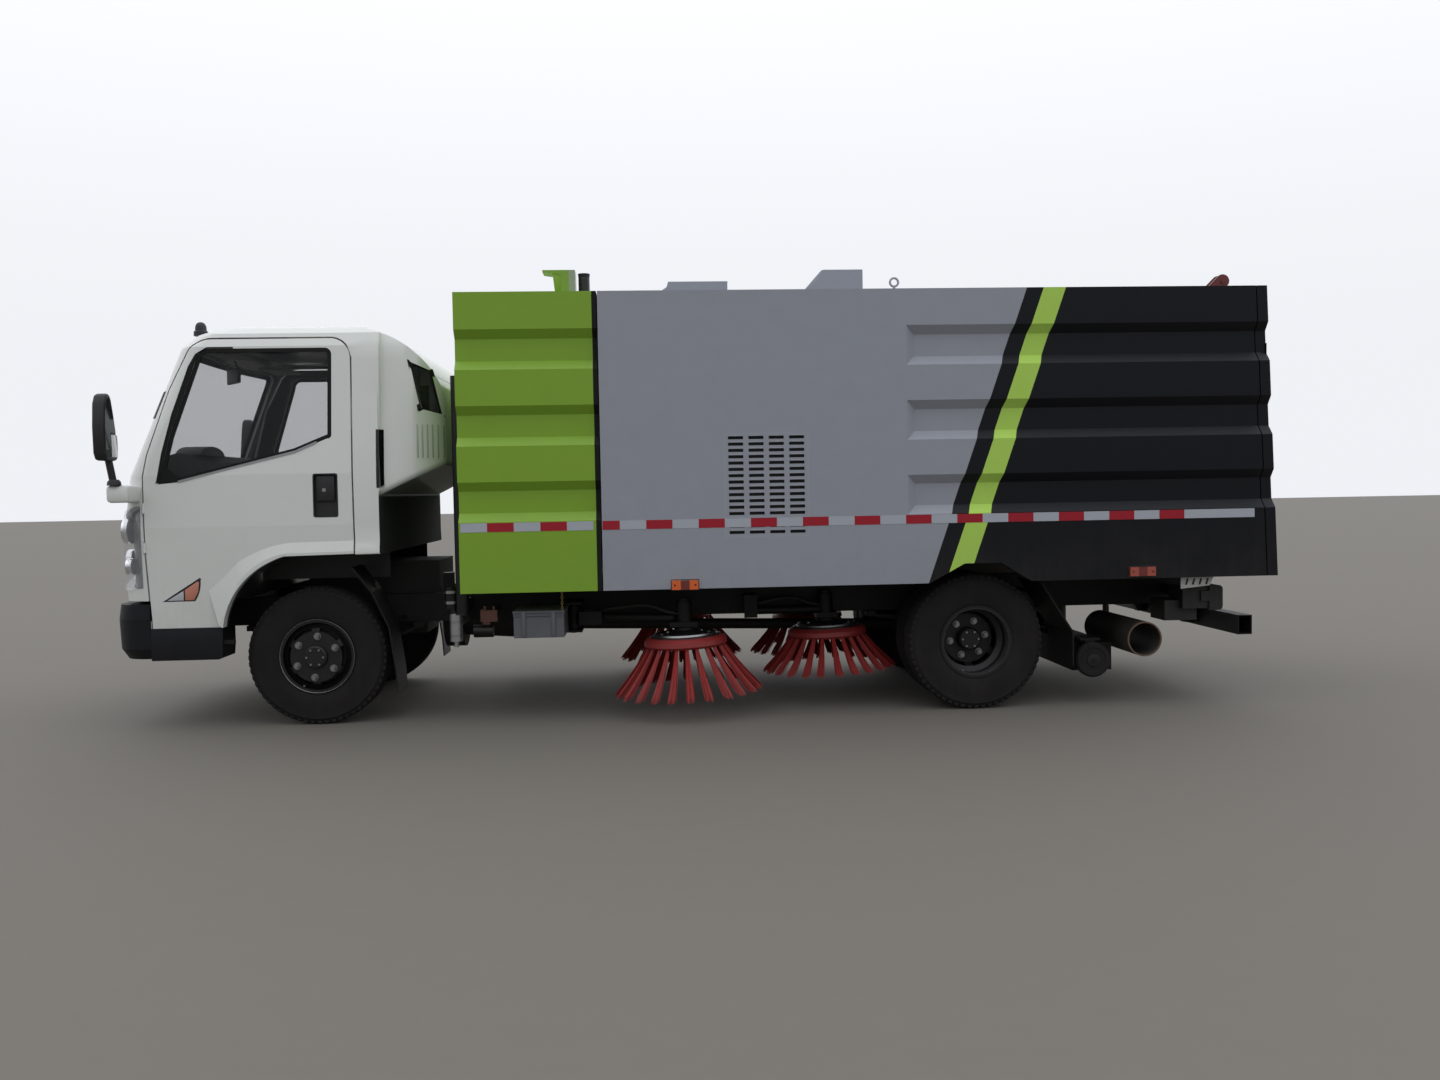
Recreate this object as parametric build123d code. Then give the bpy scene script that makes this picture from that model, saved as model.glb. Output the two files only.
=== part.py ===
from build123d import *
from math import atan2, cos, degrees, hypot, pi, radians, sin
import os

# Street sweeper truck, in millimetres.
# X runs to the rear, Z up, and the driver sits on the -Y side.
# Everything is drawn from the point on the ground under the front axle, and moved when
# it is written, so that the origin lies on the ground at the middle of the length.

# Chassis and wheels
WHEELBASE = 3800
FRONT_OVERHANG = 1150
REAR_OVERHANG = 1740
TYRE_RADIUS = 395
TYRE_WIDTH = 200
RIM_RADIUS = 203
RIM_WALL = 9
WHEEL_OFFSET = 115
FRONT_WHEEL_Y = 770
KINGPIN_Y = 690
TWIN_OUTER_Y = 880
TWIN_INNER_Y = TWIN_OUTER_Y - 2 * WHEEL_OFFSET
FRAME_WIDTH = 800
RAIL_TOP = 705
RAIL_HEIGHT = 170
RAIL_FLANGE = 65
RAIL_WALL = 7
RAIL_FRONT = -1040
RAIL_REAR = WHEELBASE + REAR_OVERHANG - 160
SPRING_Y = 410
FRONT_SPRING_LENGTH = 1000
REAR_SPRING_LENGTH = 1040
DISC_RADIUS = 150
HAND_HOLES = 6
HAND_HOLE_SWEEP = 22

# Cab
CAB_LOW = 582
CAB_FRONT_LOW = 742
CAB_ROOF = 2290
CAB_FRONT = -1100
CAB_REAR = 402
CAB_HALF = 980
CAB_WALL = 50
CAB_FLOOR = 1035
FOOTWELL_FLOOR = 790
FOOTWELL_REAR = -525
DOOR_THICKNESS = 46
DOOR_GAP = 9
DOOR_HINGE_X = -892
DOOR_HINGE_HEIGHTS = (1040, 1260)
DOOR_HINGE_REACH = 28
DOOR_HINGE_RADIUS = 7
DOOR_HINGE_CLEARANCE = 6
GLASS_THICKNESS = 6
GLASS_INSET = 10
CAB_TILT_X = CAB_FRONT + 55
CAB_TILT_Z = 430
CAB_TILT_PIN_RADIUS = 16
CAB_TILT_ARM_Y = 435
DASHBOARD_SIDE_GAP = 85
CREASE_PROUD = 12
HANDLE_POCKET_DEPTH = 24
LAMP_POCKET_DEPTH = 10
GRILLE_DEPTH = 30
GRILLE_PROUD = 3
GRILLE_SLOTS = 4
GRILLE_SLOT_PITCH = 38
GRILLE_SLOT_HEIGHT = 20
BUMPER_REAR = -884
PIN_CLEARANCE = 0.3
HINGE_PIN_RADIUS = 20
ARM_PIN_RADIUS = 16
LINK_PIN_RADIUS = 12
SPINDLE_RADIUS = 29
REAR_SHAFT_RADIUS = 48

# Body
BODY_WIDTH = 2200
BODY_FRONT = 856
SEAM_X = 1630
SEAL_WIDTH = 26
SILL_HEIGHT = 48
BODY_LOW = RAIL_TOP + SILL_HEIGHT
BODY_TOP = 2420
BODY_REAR_LOW = WHEELBASE + REAR_OVERHANG
BODY_REAR_TOP = BODY_REAR_LOW - 66
BODY_WALL = 60
HOPPER_FLOOR_LOW = 2 * TYRE_RADIUS + 72
HOPPER_FLOOR = HOPPER_FLOOR_LOW + 38
BULKHEAD_X = WHEELBASE - 760
TAILGATE_THICKNESS = 60
MOVING_GAP = 6
HOPPER_HINGE_X = RAIL_REAR - 50
HOPPER_HINGE_Z = BODY_LOW + 47
TAILGATE_HINGE_X = BODY_REAR_TOP - TAILGATE_THICKNESS / 2
TAILGATE_HINGE_Z = BODY_TOP + 105
TAILGATE_HINGE_Y = 600
TAILGATE_PIN_RADIUS = 14

# Tipping cylinder, opened at its rod's eye
BARREL_X = WHEELBASE - 1050
BARREL_Z = RAIL_TOP - 105
ROD_EYE_X = WHEELBASE + 220
ROD_EYE_Z = RAIL_TOP - 5

# Roof hoods: front and rear behind the seam, slope of the front, height and half width
HOODS = (
    (378, 791, 50, 164, 180),
    (1268, 1625, 113, 226, 200),
)
HOOD_Y = -250

# Lifting eyes on the roof
FITTING_Y = -900
EYE_X = WHEELBASE - 444
EYE_Y = 900
EYE_RADIUS = 24
EYE_BAR = 6
EYE_HEIGHT = 68

# Pressed channels along the sides
CHANNEL_TOP = BODY_TOP - 205
CHANNEL_HEIGHT = 223
CHANNEL_PITCH = 422
CHANNEL_BEVEL = 50
CHANNEL_DEPTH = 40
CHANNEL_START = WHEELBASE - 420
CHANNEL_COUNT = 3

# Louvre slots
LOUVRE_FRONT = SEAM_X + 710
LOUVRE_REAR = LOUVRE_FRONT + 475
LOUVRE_LOW = BODY_LOW + 287
LOUVRE_TOP = LOUVRE_LOW + 580
LOUVRE_PLATE = 4
SLOT_LENGTH = 85
SLOT_HEIGHT = 17
SLOT_COLUMNS = 4
SLOT_ROWS = 16
SLOT_COLUMN_PITCH = 114.7
SLOT_ROW_PITCH = 35.4

# Brushes
BRUSH_RADIUS = 435
BRUSH_DISC_RADIUS = 240
BRUSH_DISC_THICKNESS = 22
BRUSH_TUFTS = 24
BRUSH_DISC_Z = 440
BRUSH_TIP_Z = 80
BRUSH_TILT = 2.5
OUTER_BRUSH_X = WHEELBASE - 1688
OUTER_BRUSH_Y = 800
INNER_BRUSH_X = WHEELBASE - 802
INNER_BRUSH_Y = 470

# Arms that carry the brushes: lifting pivots and the swinging post
ARM_Z = 560
OUTER_PIVOT_X = OUTER_BRUSH_X - 532
OUTER_PIVOT_Y = 640
SWING_POST_X = OUTER_PIVOT_X - 130
SWING_POST_Y = 600
INNER_PIVOT_X = INNER_BRUSH_X - 475

# Suction nozzle
NOZZLE_FRONT = WHEELBASE + 630
NOZZLE_REAR = NOZZLE_FRONT + 240
NOZZLE_HALF_WIDTH = 800
NOZZLE_LOW = 185
NOZZLE_TOP = 350
NOZZLE_WALL = 10
NOZZLE_WHEEL_X = NOZZLE_FRONT + 75
NOZZLE_WHEEL_Y = 930
NOZZLE_WHEEL_RADIUS = 103
NOZZLE_WHEEL_WIDTH = 48
NOZZLE_WHEEL_Z = 267

# Links that carry the nozzle, and the collar that its pipe slides in
LINK_X = WHEELBASE + 190
LINK_Z = 330
LINK_END_X = NOZZLE_FRONT + 30
LINK_END_Z = NOZZLE_TOP + 50
LINK_Y = 320
COLLAR_X = NOZZLE_FRONT + 120
COLLAR_RADIUS = 144
COLLAR_WALL = 8

# Stowage tube across the rear of the frame
STOWAGE_X = NOZZLE_REAR + 123
STOWAGE_Z = 389
STOWAGE_RADIUS = 102

# Tank and box between the cab and the brushes
TANK_REAR = SWING_POST_X - 65
TANK_FRONT = TANK_REAR - 505
BOX_REAR = SWING_POST_X - 31
BOX_FRONT = BOX_REAR - 283

ORIGIN_X = (WHEELBASE + REAR_OVERHANG - FRONT_OVERHANG) / 2
HALF_BODY = BODY_WIDTH / 2
SILL_Y = 370
UNDERRUN_X = RAIL_REAR - 27
RAIL_LOW = RAIL_TOP - RAIL_HEIGHT
RAIL_Y = FRAME_WIDTH / 2
AXLE_Z = TYRE_RADIUS


# Shapes that many pieces use

def block(x0, x1, y0, y1, z0, z1):
    size = Box(x1 - x0, y1 - y0, z1 - z0)
    return Pos((x0 + x1) / 2, (y0 + y1) / 2, (z0 + z1) / 2) * size


def rod(start, end, radius):
    a = Vector(*start)
    b = Vector(*end)
    low = (Align.CENTER, Align.CENTER, Align.MIN)
    return Plane(origin=a, z_dir=b - a) * Cylinder(radius, (b - a).length, align=low)


def tube(start, end, outer, inner):
    return rod(start, end, outer) - rod(start, end, inner)


def outline(start, *steps):
    """Flat face; a step is the next corner, or an arc's middle and end."""
    edges = []
    here = start
    for step in steps:
        if isinstance(step[0], tuple):
            edges.append(ThreePointArc(here, step[0], step[1]))
            here = step[1]
        else:
            edges.append(Line(here, step))
            here = step
    if here != start:
        edges.append(Line(here, start))
    return make_face(edges)


def side_prism(face, y0, y1):
    """Face drawn in X and Z, from y0 to y1."""
    plane = Plane(origin=(0, y0, 0), x_dir=(1, 0, 0), z_dir=(0, -1, 0))
    return extrude(plane * face, amount=y1 - y0, dir=(0, 1, 0))


def front_prism(face, x0, x1):
    """Face drawn in Y and Z, from x0 to x1."""
    plane = Plane(origin=(x0, 0, 0), x_dir=(0, 1, 0), z_dir=(1, 0, 0))
    return extrude(plane * face, amount=x1 - x0, dir=(1, 0, 0))


def top_prism(face, z0, z1):
    """Face drawn in X and Y, from z0 to z1."""
    return extrude(Pos(0, 0, z0) * face, amount=z1 - z0, dir=(0, 0, 1))


def other_side(shape):
    return mirror(shape, about=Plane.XZ)


def both_sides(shape):
    return [shape, other_side(shape)]


def joined(shapes):
    whole = shapes[0]
    for shape in shapes[1:]:
        whole = whole + shape
    return whole


def ring(radius, bar):
    """Eight-sided bar bent to a ring about Z."""
    a = bar * 0.4142
    face = outline((radius - bar, -a), (radius - a, -bar), (radius + a, -bar), (radius + bar, -a),
                   (radius + bar, a), (radius + a, bar), (radius - a, bar), (radius - bar, a))
    return revolve(Rot(90, 0, 0) * face, Axis.Z)


def around_y(face, x, y, z):
    """Face drawn in radius and Y, turned about a line along Y."""
    return Pos(x, y, z) * revolve(face, Axis.Y)


# Frame

def chassis_frame():
    pieces = []
    for side in (-1, 1):
        web = block(RAIL_FRONT, RAIL_REAR, 0, RAIL_WALL, RAIL_LOW, RAIL_TOP)
        low = block(RAIL_FRONT, RAIL_REAR, 0, RAIL_FLANGE, RAIL_LOW, RAIL_LOW + RAIL_WALL)
        top = block(RAIL_FRONT, RAIL_REAR, 0, RAIL_FLANGE, RAIL_TOP - RAIL_WALL, RAIL_TOP)
        rail = Pos(0, -RAIL_Y, 0) * (web + low + top)
        pieces.append(rail if side < 0 else other_side(rail))
    cross_members = (RAIL_FRONT + 40, -560, 1200, 1640, BARREL_X - 370, WHEELBASE + 450, RAIL_REAR - 150)
    half = RAIL_Y - RAIL_WALL
    for x in cross_members:
        web = block(x, x + RAIL_WALL, -half, half, RAIL_LOW + RAIL_WALL, RAIL_TOP - RAIL_WALL)
        flange = block(x, x + 60, -half, half, RAIL_LOW + RAIL_WALL, RAIL_LOW + 2 * RAIL_WALL)
        pieces.append(web + flange)
    return joined(pieces)


def front_axle():
    z = AXLE_Z
    face = outline((-KINGPIN_Y, z - 40), (-KINGPIN_Y, z + 40), (-KINGPIN_Y + 80, z + 40),
                   (-SPRING_Y - 60, z - 20), (SPRING_Y + 60, z - 20), (KINGPIN_Y - 80, z + 40),
                   (KINGPIN_Y, z + 40), (KINGPIN_Y, z - 40), (KINGPIN_Y - 80, z - 40),
                   (SPRING_Y + 60, z - 90), (-SPRING_Y - 60, z - 90), (-KINGPIN_Y + 80, z - 40))
    beam = front_prism(face, -35, 35)
    eyes = [Pos(0, s * KINGPIN_Y, z) * Cylinder(42, 80) for s in (-1, 1)]
    bore = HINGE_PIN_RADIUS + PIN_CLEARANCE
    holes = [Pos(0, s * KINGPIN_Y, z) * Cylinder(bore, 100) for s in (-1, 1)]
    return joined([beam] + eyes) - joined(holes)


def leaf_springs(x, low_z, length):
    """Curved pack under each rail with its two hangers."""
    pieces = []
    half = length / 2
    for s in (-1, 1):
        y = s * SPRING_Y
        end_z = RAIL_LOW - 32
        face = outline((x - half, end_z), ((x, low_z), (x + half, end_z)), (x + half, end_z + 14),
                       ((x, low_z + 46), (x - half, end_z + 14)))
        pack = side_prism(face, y - 35, y + 35)
        hangers = [block(x + e - 30, x + e + 30, y - 35, y + 35, end_z, RAIL_LOW)
                   for e in (-half, half)]
        pieces.append(joined([pack] + hangers))
    return pieces


def knuckle():
    z = AXLE_Z
    pin = Pos(0, -KINGPIN_Y, z) * Cylinder(HINGE_PIN_RADIUS, 190)
    arms = [block(-32, 32, -KINGPIN_Y - 45, -KINGPIN_Y + 32, z + e, z + e + 34) for e in (-84, 50)]
    back = block(-50, 50, -KINGPIN_Y - 62, -KINGPIN_Y - 44, z - 84, z + 84)
    spindle = rod((0, -KINGPIN_Y - 46, z), (0, -FRONT_WHEEL_Y - 90, z), SPINDLE_RADIUS)
    return joined([pin] + arms + [back, spindle])


def tyre(y):
    """Tyre round the rim, centred at y."""
    bead = RIM_RADIUS
    w = TYRE_WIDTH / 2
    r = TYRE_RADIUS
    face = outline((bead, -w + 16), (bead + 40, -w + 3), (bead + 95, -w + 1), (r - 26, -w + 12),
                   (r - 5, -w + 24), (r, -w + 42), (r, w - 42), (r - 5, w - 24), (r - 26, w - 12),
                   (bead + 95, w - 1), (bead + 40, w - 3), (bead, w - 16))
    return around_y(face, 0, y, 0)


def rim(y, disc_side):
    """Steel rim with its dished disc towards disc_side."""
    w = TYRE_WIDTH / 2 - 18
    r = RIM_RADIUS
    t = RIM_WALL
    band = outline((r - t, -w - 12), (r + 8, -w - 12), (r + 8, -w - 6), (r, -w - 6), (r, w + 6),
                   (r + 8, w + 6), (r + 8, w + 12), (r - t, w + 12))
    s = disc_side
    o = WHEEL_OFFSET
    d = DISC_RADIUS
    disc = outline((r - t, s * 40), (r - t, s * 52), (d + 22, s * 64), (d + 12, s * (o - 12)),
                   (d, s * o), (62, s * o), (62, s * (o - 10)), (d - 4, s * (o - 10)),
                   (d + 3, s * (o - 18)), (d + 13, s * 56))
    whole = around_y(band, 0, y, 0) + around_y(disc, 0, y, 0)
    ends = (0, y + s * 50, 0), (0, y + s * (o + 10), 0)
    slots = tube(*ends, d + 14, d - 4)
    half = radians(HAND_HOLE_SWEEP)
    holes = []
    for i in range(HAND_HOLES):
        a = 2 * pi * i / HAND_HOLES
        corners = [(300 * cos(a + e), 300 * sin(a + e)) for e in (-half, half)]
        wedge = side_prism(outline((0, 0), *corners), y - 150, y + 150)
        holes.append(slots & wedge)
    return whole - joined(holes)


def front_wheel():
    """Rim, hub and drum of the wheel on the driver's side."""
    y = -FRONT_WHEEL_Y
    face_y = y - WHEEL_OFFSET
    wheel = rim(y, -1)
    bore = SPINDLE_RADIUS + PIN_CLEARANCE
    cap = around_y(outline((0, face_y - 26), (56, face_y - 26), (64, face_y - 20), (66, face_y + 12),
                           (0, face_y + 12)), 0, 0, 0)
    socket = rod((0, -KINGPIN_Y - 20, 0), (0, -FRONT_WHEEL_Y - 90 - PIN_CLEARANCE, 0), bore)
    drum = tube((0, face_y + 8, 0), (0, y + 12, 0), 140, 64)
    bearing = tube((0, face_y + 8, 0), (0, y + 12, 0), 66, bore)
    inner = joined([cap, drum, bearing]) - socket
    return Pos(0, 0, AXLE_Z) * (wheel + inner)


def rear_wheels():
    """Two rims back to back on one hub, on the driver's side."""
    outer = rim(-TWIN_OUTER_Y, 1)
    inner = rim(-TWIN_INNER_Y, -1)
    mid = -(TWIN_OUTER_Y + TWIN_INNER_Y) / 2
    cap = around_y(outline((0, mid - 78), (58, mid - 78), (66, mid - 70), (70, mid + 10), (0, mid + 10)),
                   0, 0, 0)
    drum = tube((0, mid + 8, 0), (0, mid + 150, 0), 140, 64)
    bore = rod((0, mid - 30, 0), (0, mid + 160, 0), REAR_SHAFT_RADIUS + PIN_CLEARANCE)
    return Pos(WHEELBASE, 0, AXLE_Z) * (joined([outer, inner, cap, drum]) - bore)


def rear_axle():
    mid = (TWIN_OUTER_Y + TWIN_INNER_Y) / 2
    z = AXLE_Z
    x = WHEELBASE
    shaft = rod((x, -mid + 30, z), (x, mid - 30, z), REAR_SHAFT_RADIUS)
    casing = rod((x, -SPRING_Y - 60, z), (x, SPRING_Y + 60, z), 62)
    bowl = Pos(x, 0, z) * Sphere(165)
    nose = rod((x, 0, z), (x - 260, 0, z + 8), 70)
    cut = joined([block(x + a, x + a + 200, -300, 300, z - 300, z + 300) for a in (-300, 100)])
    pads = [block(x - 70, x + 70, s * SPRING_Y - 45, s * SPRING_Y + 45, z - 66, z - 40) for s in (-1, 1)]
    return joined([shaft, casing, bowl - cut, nose] + pads)


def power_train():
    engine = block(-200, 600, -260, 260, 540, 900)
    sump = block(-100, 500, -180, 180, 440, 540)
    return engine + sump


def gearbox():
    bell = rod((600, 0, 520), (720, 0, 520), 190)
    case = rod((720, 0, 510), (1150, 0, 480), 110)
    return bell + case


def propeller_shaft():
    a = (1152, 0, 462)
    b = (WHEELBASE - 270, 0, AXLE_Z + 8)
    return rod(a, b, 34)


# Cab

# Level sections: height, front at the middle, how far the corners fall back, half width,
# corner radius and rear
CAB_SECTIONS = (
    (CAB_LOW, CAB_FRONT + 8, 40, CAB_HALF - 18, 165, CAB_REAR),
    (1150, CAB_FRONT, 45, CAB_HALF, 170, CAB_REAR),
    (1440, CAB_FRONT + 38, 50, CAB_HALF - 5, 170, CAB_REAR),
    (2160, CAB_FRONT + 322, 52, CAB_HALF - 77, 150, CAB_REAR - 12),
    (2235, CAB_FRONT + 394, 60, CAB_HALF - 108, 150, CAB_REAR - 40),
    (2272, CAB_FRONT + 460, 70, CAB_HALF - 160, 150, CAB_REAR - 80),
    (CAB_ROOF, CAB_FRONT + 540, 80, CAB_HALF - 240, 150, CAB_REAR - 120),
)


def cab_level(z, front, fall, half, radius, rear, inset):
    f = front + inset
    w = half - inset
    r = radius - inset * 0.6
    x1 = f + fall
    x2 = x1 + r
    k = r * (1 - cos(radians(45)))
    x3 = rear - inset
    face = outline((x3, -w), (x2, -w), ((x1 + k, -w + k), (x1, -w + r)), ((f, 0), (x1, w - r)),
                   ((x1 + k, w - k), (x2, w)), (x3, w))
    return Pos(0, 0, z) * face


def cab_block(inset):
    """Outer form of the cab without its rear extension, moved inwards by inset."""
    rows = [list(row) for row in CAB_SECTIONS]
    if inset:
        rows[-1][0] = CAB_ROOF - inset
        rows[-2][0] = CAB_ROOF - inset - 14
    faces = [cab_level(*row, inset) for row in rows]
    return loft(faces, ruled=True)


def cab_extension(inset):
    """Rounded space behind the doors."""
    i = inset
    face = outline((300, 1290 + i), (CAB_REAR - 6, 1310 + i), (735 - i, 1480 + i), (738 - i, 1816),
                   ((700 - i, 1990 - i * 0.5), (600 - i * 0.8, 2120 - i * 0.8)),
                   ((480, 2205 - i), (300, 2268 - i)))
    side = side_prism(face, -CAB_HALF, CAB_HALF)
    w = CAB_HALF - 50 - i
    k = w - 100 + i * 0.3
    plan = outline((290, -w), (470, -w), ((660 - i * 0.7, -k), (745 - i, -w + 330 - i)),
                   (745 - i, w - 330 + i), ((660 - i * 0.7, k), (470, w)), (290, w))
    return side & top_prism(plan, 1200, 2400)


# Outlines seen from the side: a corner, or an arc's middle and end
DOOR_POINTS = ((-869, 586), (-474, 586), ((-350, 845), (-134, 978)), (253, 985), (245, 2090),
               ((205, 2175), (119, 2203)), (-520, 2203), ((-605, 2180), (-649, 2140)), (-761, 1914),
               (-874, 1557), (-892, 1435), (-887, 974))
WINDOW_POINTS = ((-808, 1392), (-745, 1660), (-604, 2080), ((-590, 2120), (-550, 2148)), (100, 2148),
                 ((130, 2138), (143, 2110)), (141, 1655), ((135, 1640), (118, 1634)), (-60, 1560),
                 (-700, 1402))
ARCH_STEPS = ((-478, 500), (-478, 580), ((-352, 848), (-134, 975)), (900, 985), (900, 500))
CREASE_POINTS = ((CAB_REAR, 1166), (4, 1162), ((-215, 1147), (-399, 1086)), (-600, 945), (-478, 582),
                 ((-352, 848), (-134, 975)), (CAB_REAR, 985))
ARCH_LIP_POINTS = ((CAB_REAR, 1003), (-134, 993), ((-300, 922), (-385, 840)), (-500, 600), (-478, 582),
                   ((-352, 848), (-134, 975)), (CAB_REAR, 985))
TURN_LAMP_POINTS = ((-812, 735), (-610, 862), ((-598, 864), (-598, 852)), ((-606, 790), (-632, 736)))
POCKET_POINTS = ((47, 1192), (161, 1192), ((170, 1196), (173, 1204)), (173, 1426), ((170, 1434), (161, 1438)),
                 (47, 1438), ((38, 1434), (35, 1426)), (35, 1204), ((38, 1196), (47, 1192)))


def prism_of(points, y0, y1):
    return side_prism(outline(*points), y0, y1)


def grown(points, gap, y0, y1):
    face = offset(outline(*points), amount=gap)
    return side_prism(face, y0, y1)


def windscreen_area():
    w = CAB_HALF - 130
    face = outline((-w, 1462), (-w + 50, 2120), ((-w + 70, 2150), (-w + 110, 2160)), (w - 110, 2160),
                   ((w - 70, 2150), (w - 50, 2120)), (w, 1462), ((w - 15, 1440), (w - 50, 1434)),
                   (-w + 50, 1434), ((-w + 15, 1440), (-w, 1462)))
    return front_prism(face, -1400, -560)


def arch_flares():
    """Flares that rise from the crease on the doors to the lip of the front wheel arches."""
    root = Plane(origin=(0, 30 - CAB_HALF, 0), x_dir=(1, 0, 0), z_dir=(0, -1, 0))
    lip = Plane(origin=(0, -CREASE_PROUD - CAB_HALF, 0), x_dir=(1, 0, 0), z_dir=(0, -1, 0))
    flare = loft([root * outline(*CREASE_POINTS), lip * outline(*ARCH_LIP_POINTS)], ruled=True)
    return both_sides(flare)


def grille_area():
    w = CAB_HALF - 440
    face = outline((-w, 1090), (w, 1090), (w - 30, 900), (-w + 30, 900))
    return front_prism(face, -1400, -900)


def grille_slots():
    w = CAB_HALF - 500
    low = 1070 - GRILLE_SLOT_PITCH * (GRILLE_SLOTS - 1)
    return [block(-1400, -900, -w, w, low + i * GRILLE_SLOT_PITCH - GRILLE_SLOT_HEIGHT,
                  low + i * GRILLE_SLOT_PITCH) for i in range(GRILLE_SLOTS)]


def side_pocket(points, depth):
    """Pocket from the side of the cab to a depth that follows its surface."""
    return prism_of(points, -CAB_HALF - 60, -CAB_HALF + 100) - cab_block(depth)


def door_handle():
    """Lever that stands on the floor of its pocket."""
    lever = block(56, 152, 12 - CAB_HALF, 18 - CAB_HALF, 1286, 1422)
    post = block(60, 148, 16 - CAB_HALF, HANDLE_POCKET_DEPTH + 6 - CAB_HALF, 1390, 1418)
    return lever + post


def door_hinges(gap):
    """Barrels that the door turns on, or the room for them in the pillar."""
    reach = DOOR_HINGE_REACH + gap
    barrels = [rod((DOOR_HINGE_X, -CAB_HALF, z - reach), (DOOR_HINGE_X, -CAB_HALF, z + reach),
                   DOOR_HINGE_RADIUS + gap) for z in DOOR_HINGE_HEIGHTS]
    return joined(barrels)


def headlamp_area(y_side):
    s = y_side
    w = CAB_HALF
    face = outline((s * (w - 380), 900), (s * (w - 50), 800), (s * (w + 30), 830), (s * (w + 30), 1275),
                   (s * (w - 20), 1270), (s * (w - 380), 1080))
    return front_prism(face, -1400, -912)


QUARTER_WINDOW = ((569, 2068), (680, 2018), (722, 1775), (623, 1799))
VENT_POINTS = ((386, 1350), (CAB_REAR + 20, 1350), (CAB_REAR + 20, 1682), (386, 1682))
VENT_DEPTH = 14


def cab_pieces():
    outer = joined([cab_block(0)] + arch_flares())
    wall_inner = cab_block(CAB_WALL)
    door_inner = cab_block(DOOR_THICKNESS)
    clear_inner = cab_block(DOOR_THICKNESS + DOOR_GAP)
    under_front = block(-1400, -880, -1200, 1200, 400, CAB_FRONT_LOW)
    arch = prism_of(ARCH_STEPS, -1200, 1200)
    under_floor = block(-900, -380, -900, 900, 400, CAB_FRONT_LOW)
    extension = cab_extension(0)
    inner_extension = cab_extension(CAB_WALL)
    hollow = wall_inner - block(FOOTWELL_REAR, 900, -1200, 1200, 400, CAB_FLOOR)
    hollow = hollow - block(-1400, FOOTWELL_REAR, -1200, 1200, 400, FOOTWELL_FLOOR)
    hollow = hollow + (inner_extension - block(0, CAB_REAR - CAB_WALL - 60, -1200, 1200, 400, 2500))
    shell = (outer + extension) - hollow - under_front - arch - under_floor
    doors = []
    glasses = []
    openings = []
    glass_outer = cab_block(GLASS_INSET)
    glass_inner = cab_block(GLASS_INSET + GLASS_THICKNESS)
    door_area = prism_of(DOOR_POINTS, -1200, -600)
    opening = grown(DOOR_POINTS, DOOR_GAP, -1200, -600) - clear_inner + door_hinges(DOOR_HINGE_CLEARANCE)
    window = prism_of(WINDOW_POINTS, -1200, -600)
    skin = outer - door_inner - arch - under_front
    door = (skin & door_area) - window - side_pocket(POCKET_POINTS, HANDLE_POCKET_DEPTH)
    door = door - side_pocket(TURN_LAMP_POINTS, LAMP_POCKET_DEPTH) + door_handle() + door_hinges(0)
    glass = (glass_outer - glass_inner) & window
    shell = shell - opening - other_side(opening)
    screen_area = windscreen_area()
    screen = (glass_outer - glass_inner) & screen_area
    shell = shell - screen_area
    lamps = []
    proud = cab_block(-10)
    lamp_inner = cab_block(CAB_WALL - 12)
    for s in (-1, 1):
        area = headlamp_area(s)
        lamps.append((proud - lamp_inner) & area)
        shell = shell - (area - lamp_inner)
    vent = side_pocket(VENT_POINTS, VENT_DEPTH)
    shell = shell - vent - other_side(vent)
    grille_back = cab_block(GRILLE_DEPTH)
    shell = shell - (grille_area() - grille_back)
    grille = ((cab_block(-GRILLE_PROUD) - grille_back) & grille_area()) - grille_slots()
    quarter = prism_of(QUARTER_WINDOW, -1200, -500)
    shell = shell - quarter - other_side(quarter)
    quarter_glass = (cab_extension(GLASS_INSET) - cab_extension(GLASS_INSET + GLASS_THICKNESS)) & quarter
    return {"shell": shell, "door": door, "door_glass": glass, "screen": screen, "lamps": lamps,
            "quarter_glass": quarter_glass, "hollow": hollow, "outer": outer, "grille": grille}


def dashboard(hollow):
    face = outline((-1100, 1190), (-760, 1190), (-690, 1290), ((-690, 1400), (-760, 1425)), (-1100, 1440))
    w = CAB_HALF - DASHBOARD_SIDE_GAP
    return side_prism(face, -w, w) & hollow


def seats():
    pieces = []
    low = CAB_FLOOR
    for y, half in ((-470, 250), (350, 430)):
        base = block(-330, 130, y - half + 20, y + half - 20, low, low + 150)
        cushion = block(-360, 150, y - half, y + half, low + 150, low + 270)
        back = side_prism(outline((60, low + 270), (190, low + 270), (290, low + 800), (190, low + 810)),
                          y - half + 10, y + half - 10)
        pieces.append(joined([base, cushion, back]))
        heads = (y,) if half < 300 else (y - 215, y + 215)
        for h in heads:
            pieces[-1] = pieces[-1] + block(205, 285, h - 120, h + 120, low + 790, low + 980)
    return pieces


def steering_wheel():
    tilt = Rot(0, -32, 0)
    rim_bar = ring(205, 15)
    boss = Cylinder(55, 40)
    spokes = joined([block(-200, 200, -18, 18, -8, 8), block(-18, 18, -200, 200, -8, 8)])
    column = Pos(0, 0, -130) * Cylinder(28, 250)
    return Pos(-560, -470, 1400) * tilt * joined([rim_bar, boss, spokes, column])


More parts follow.
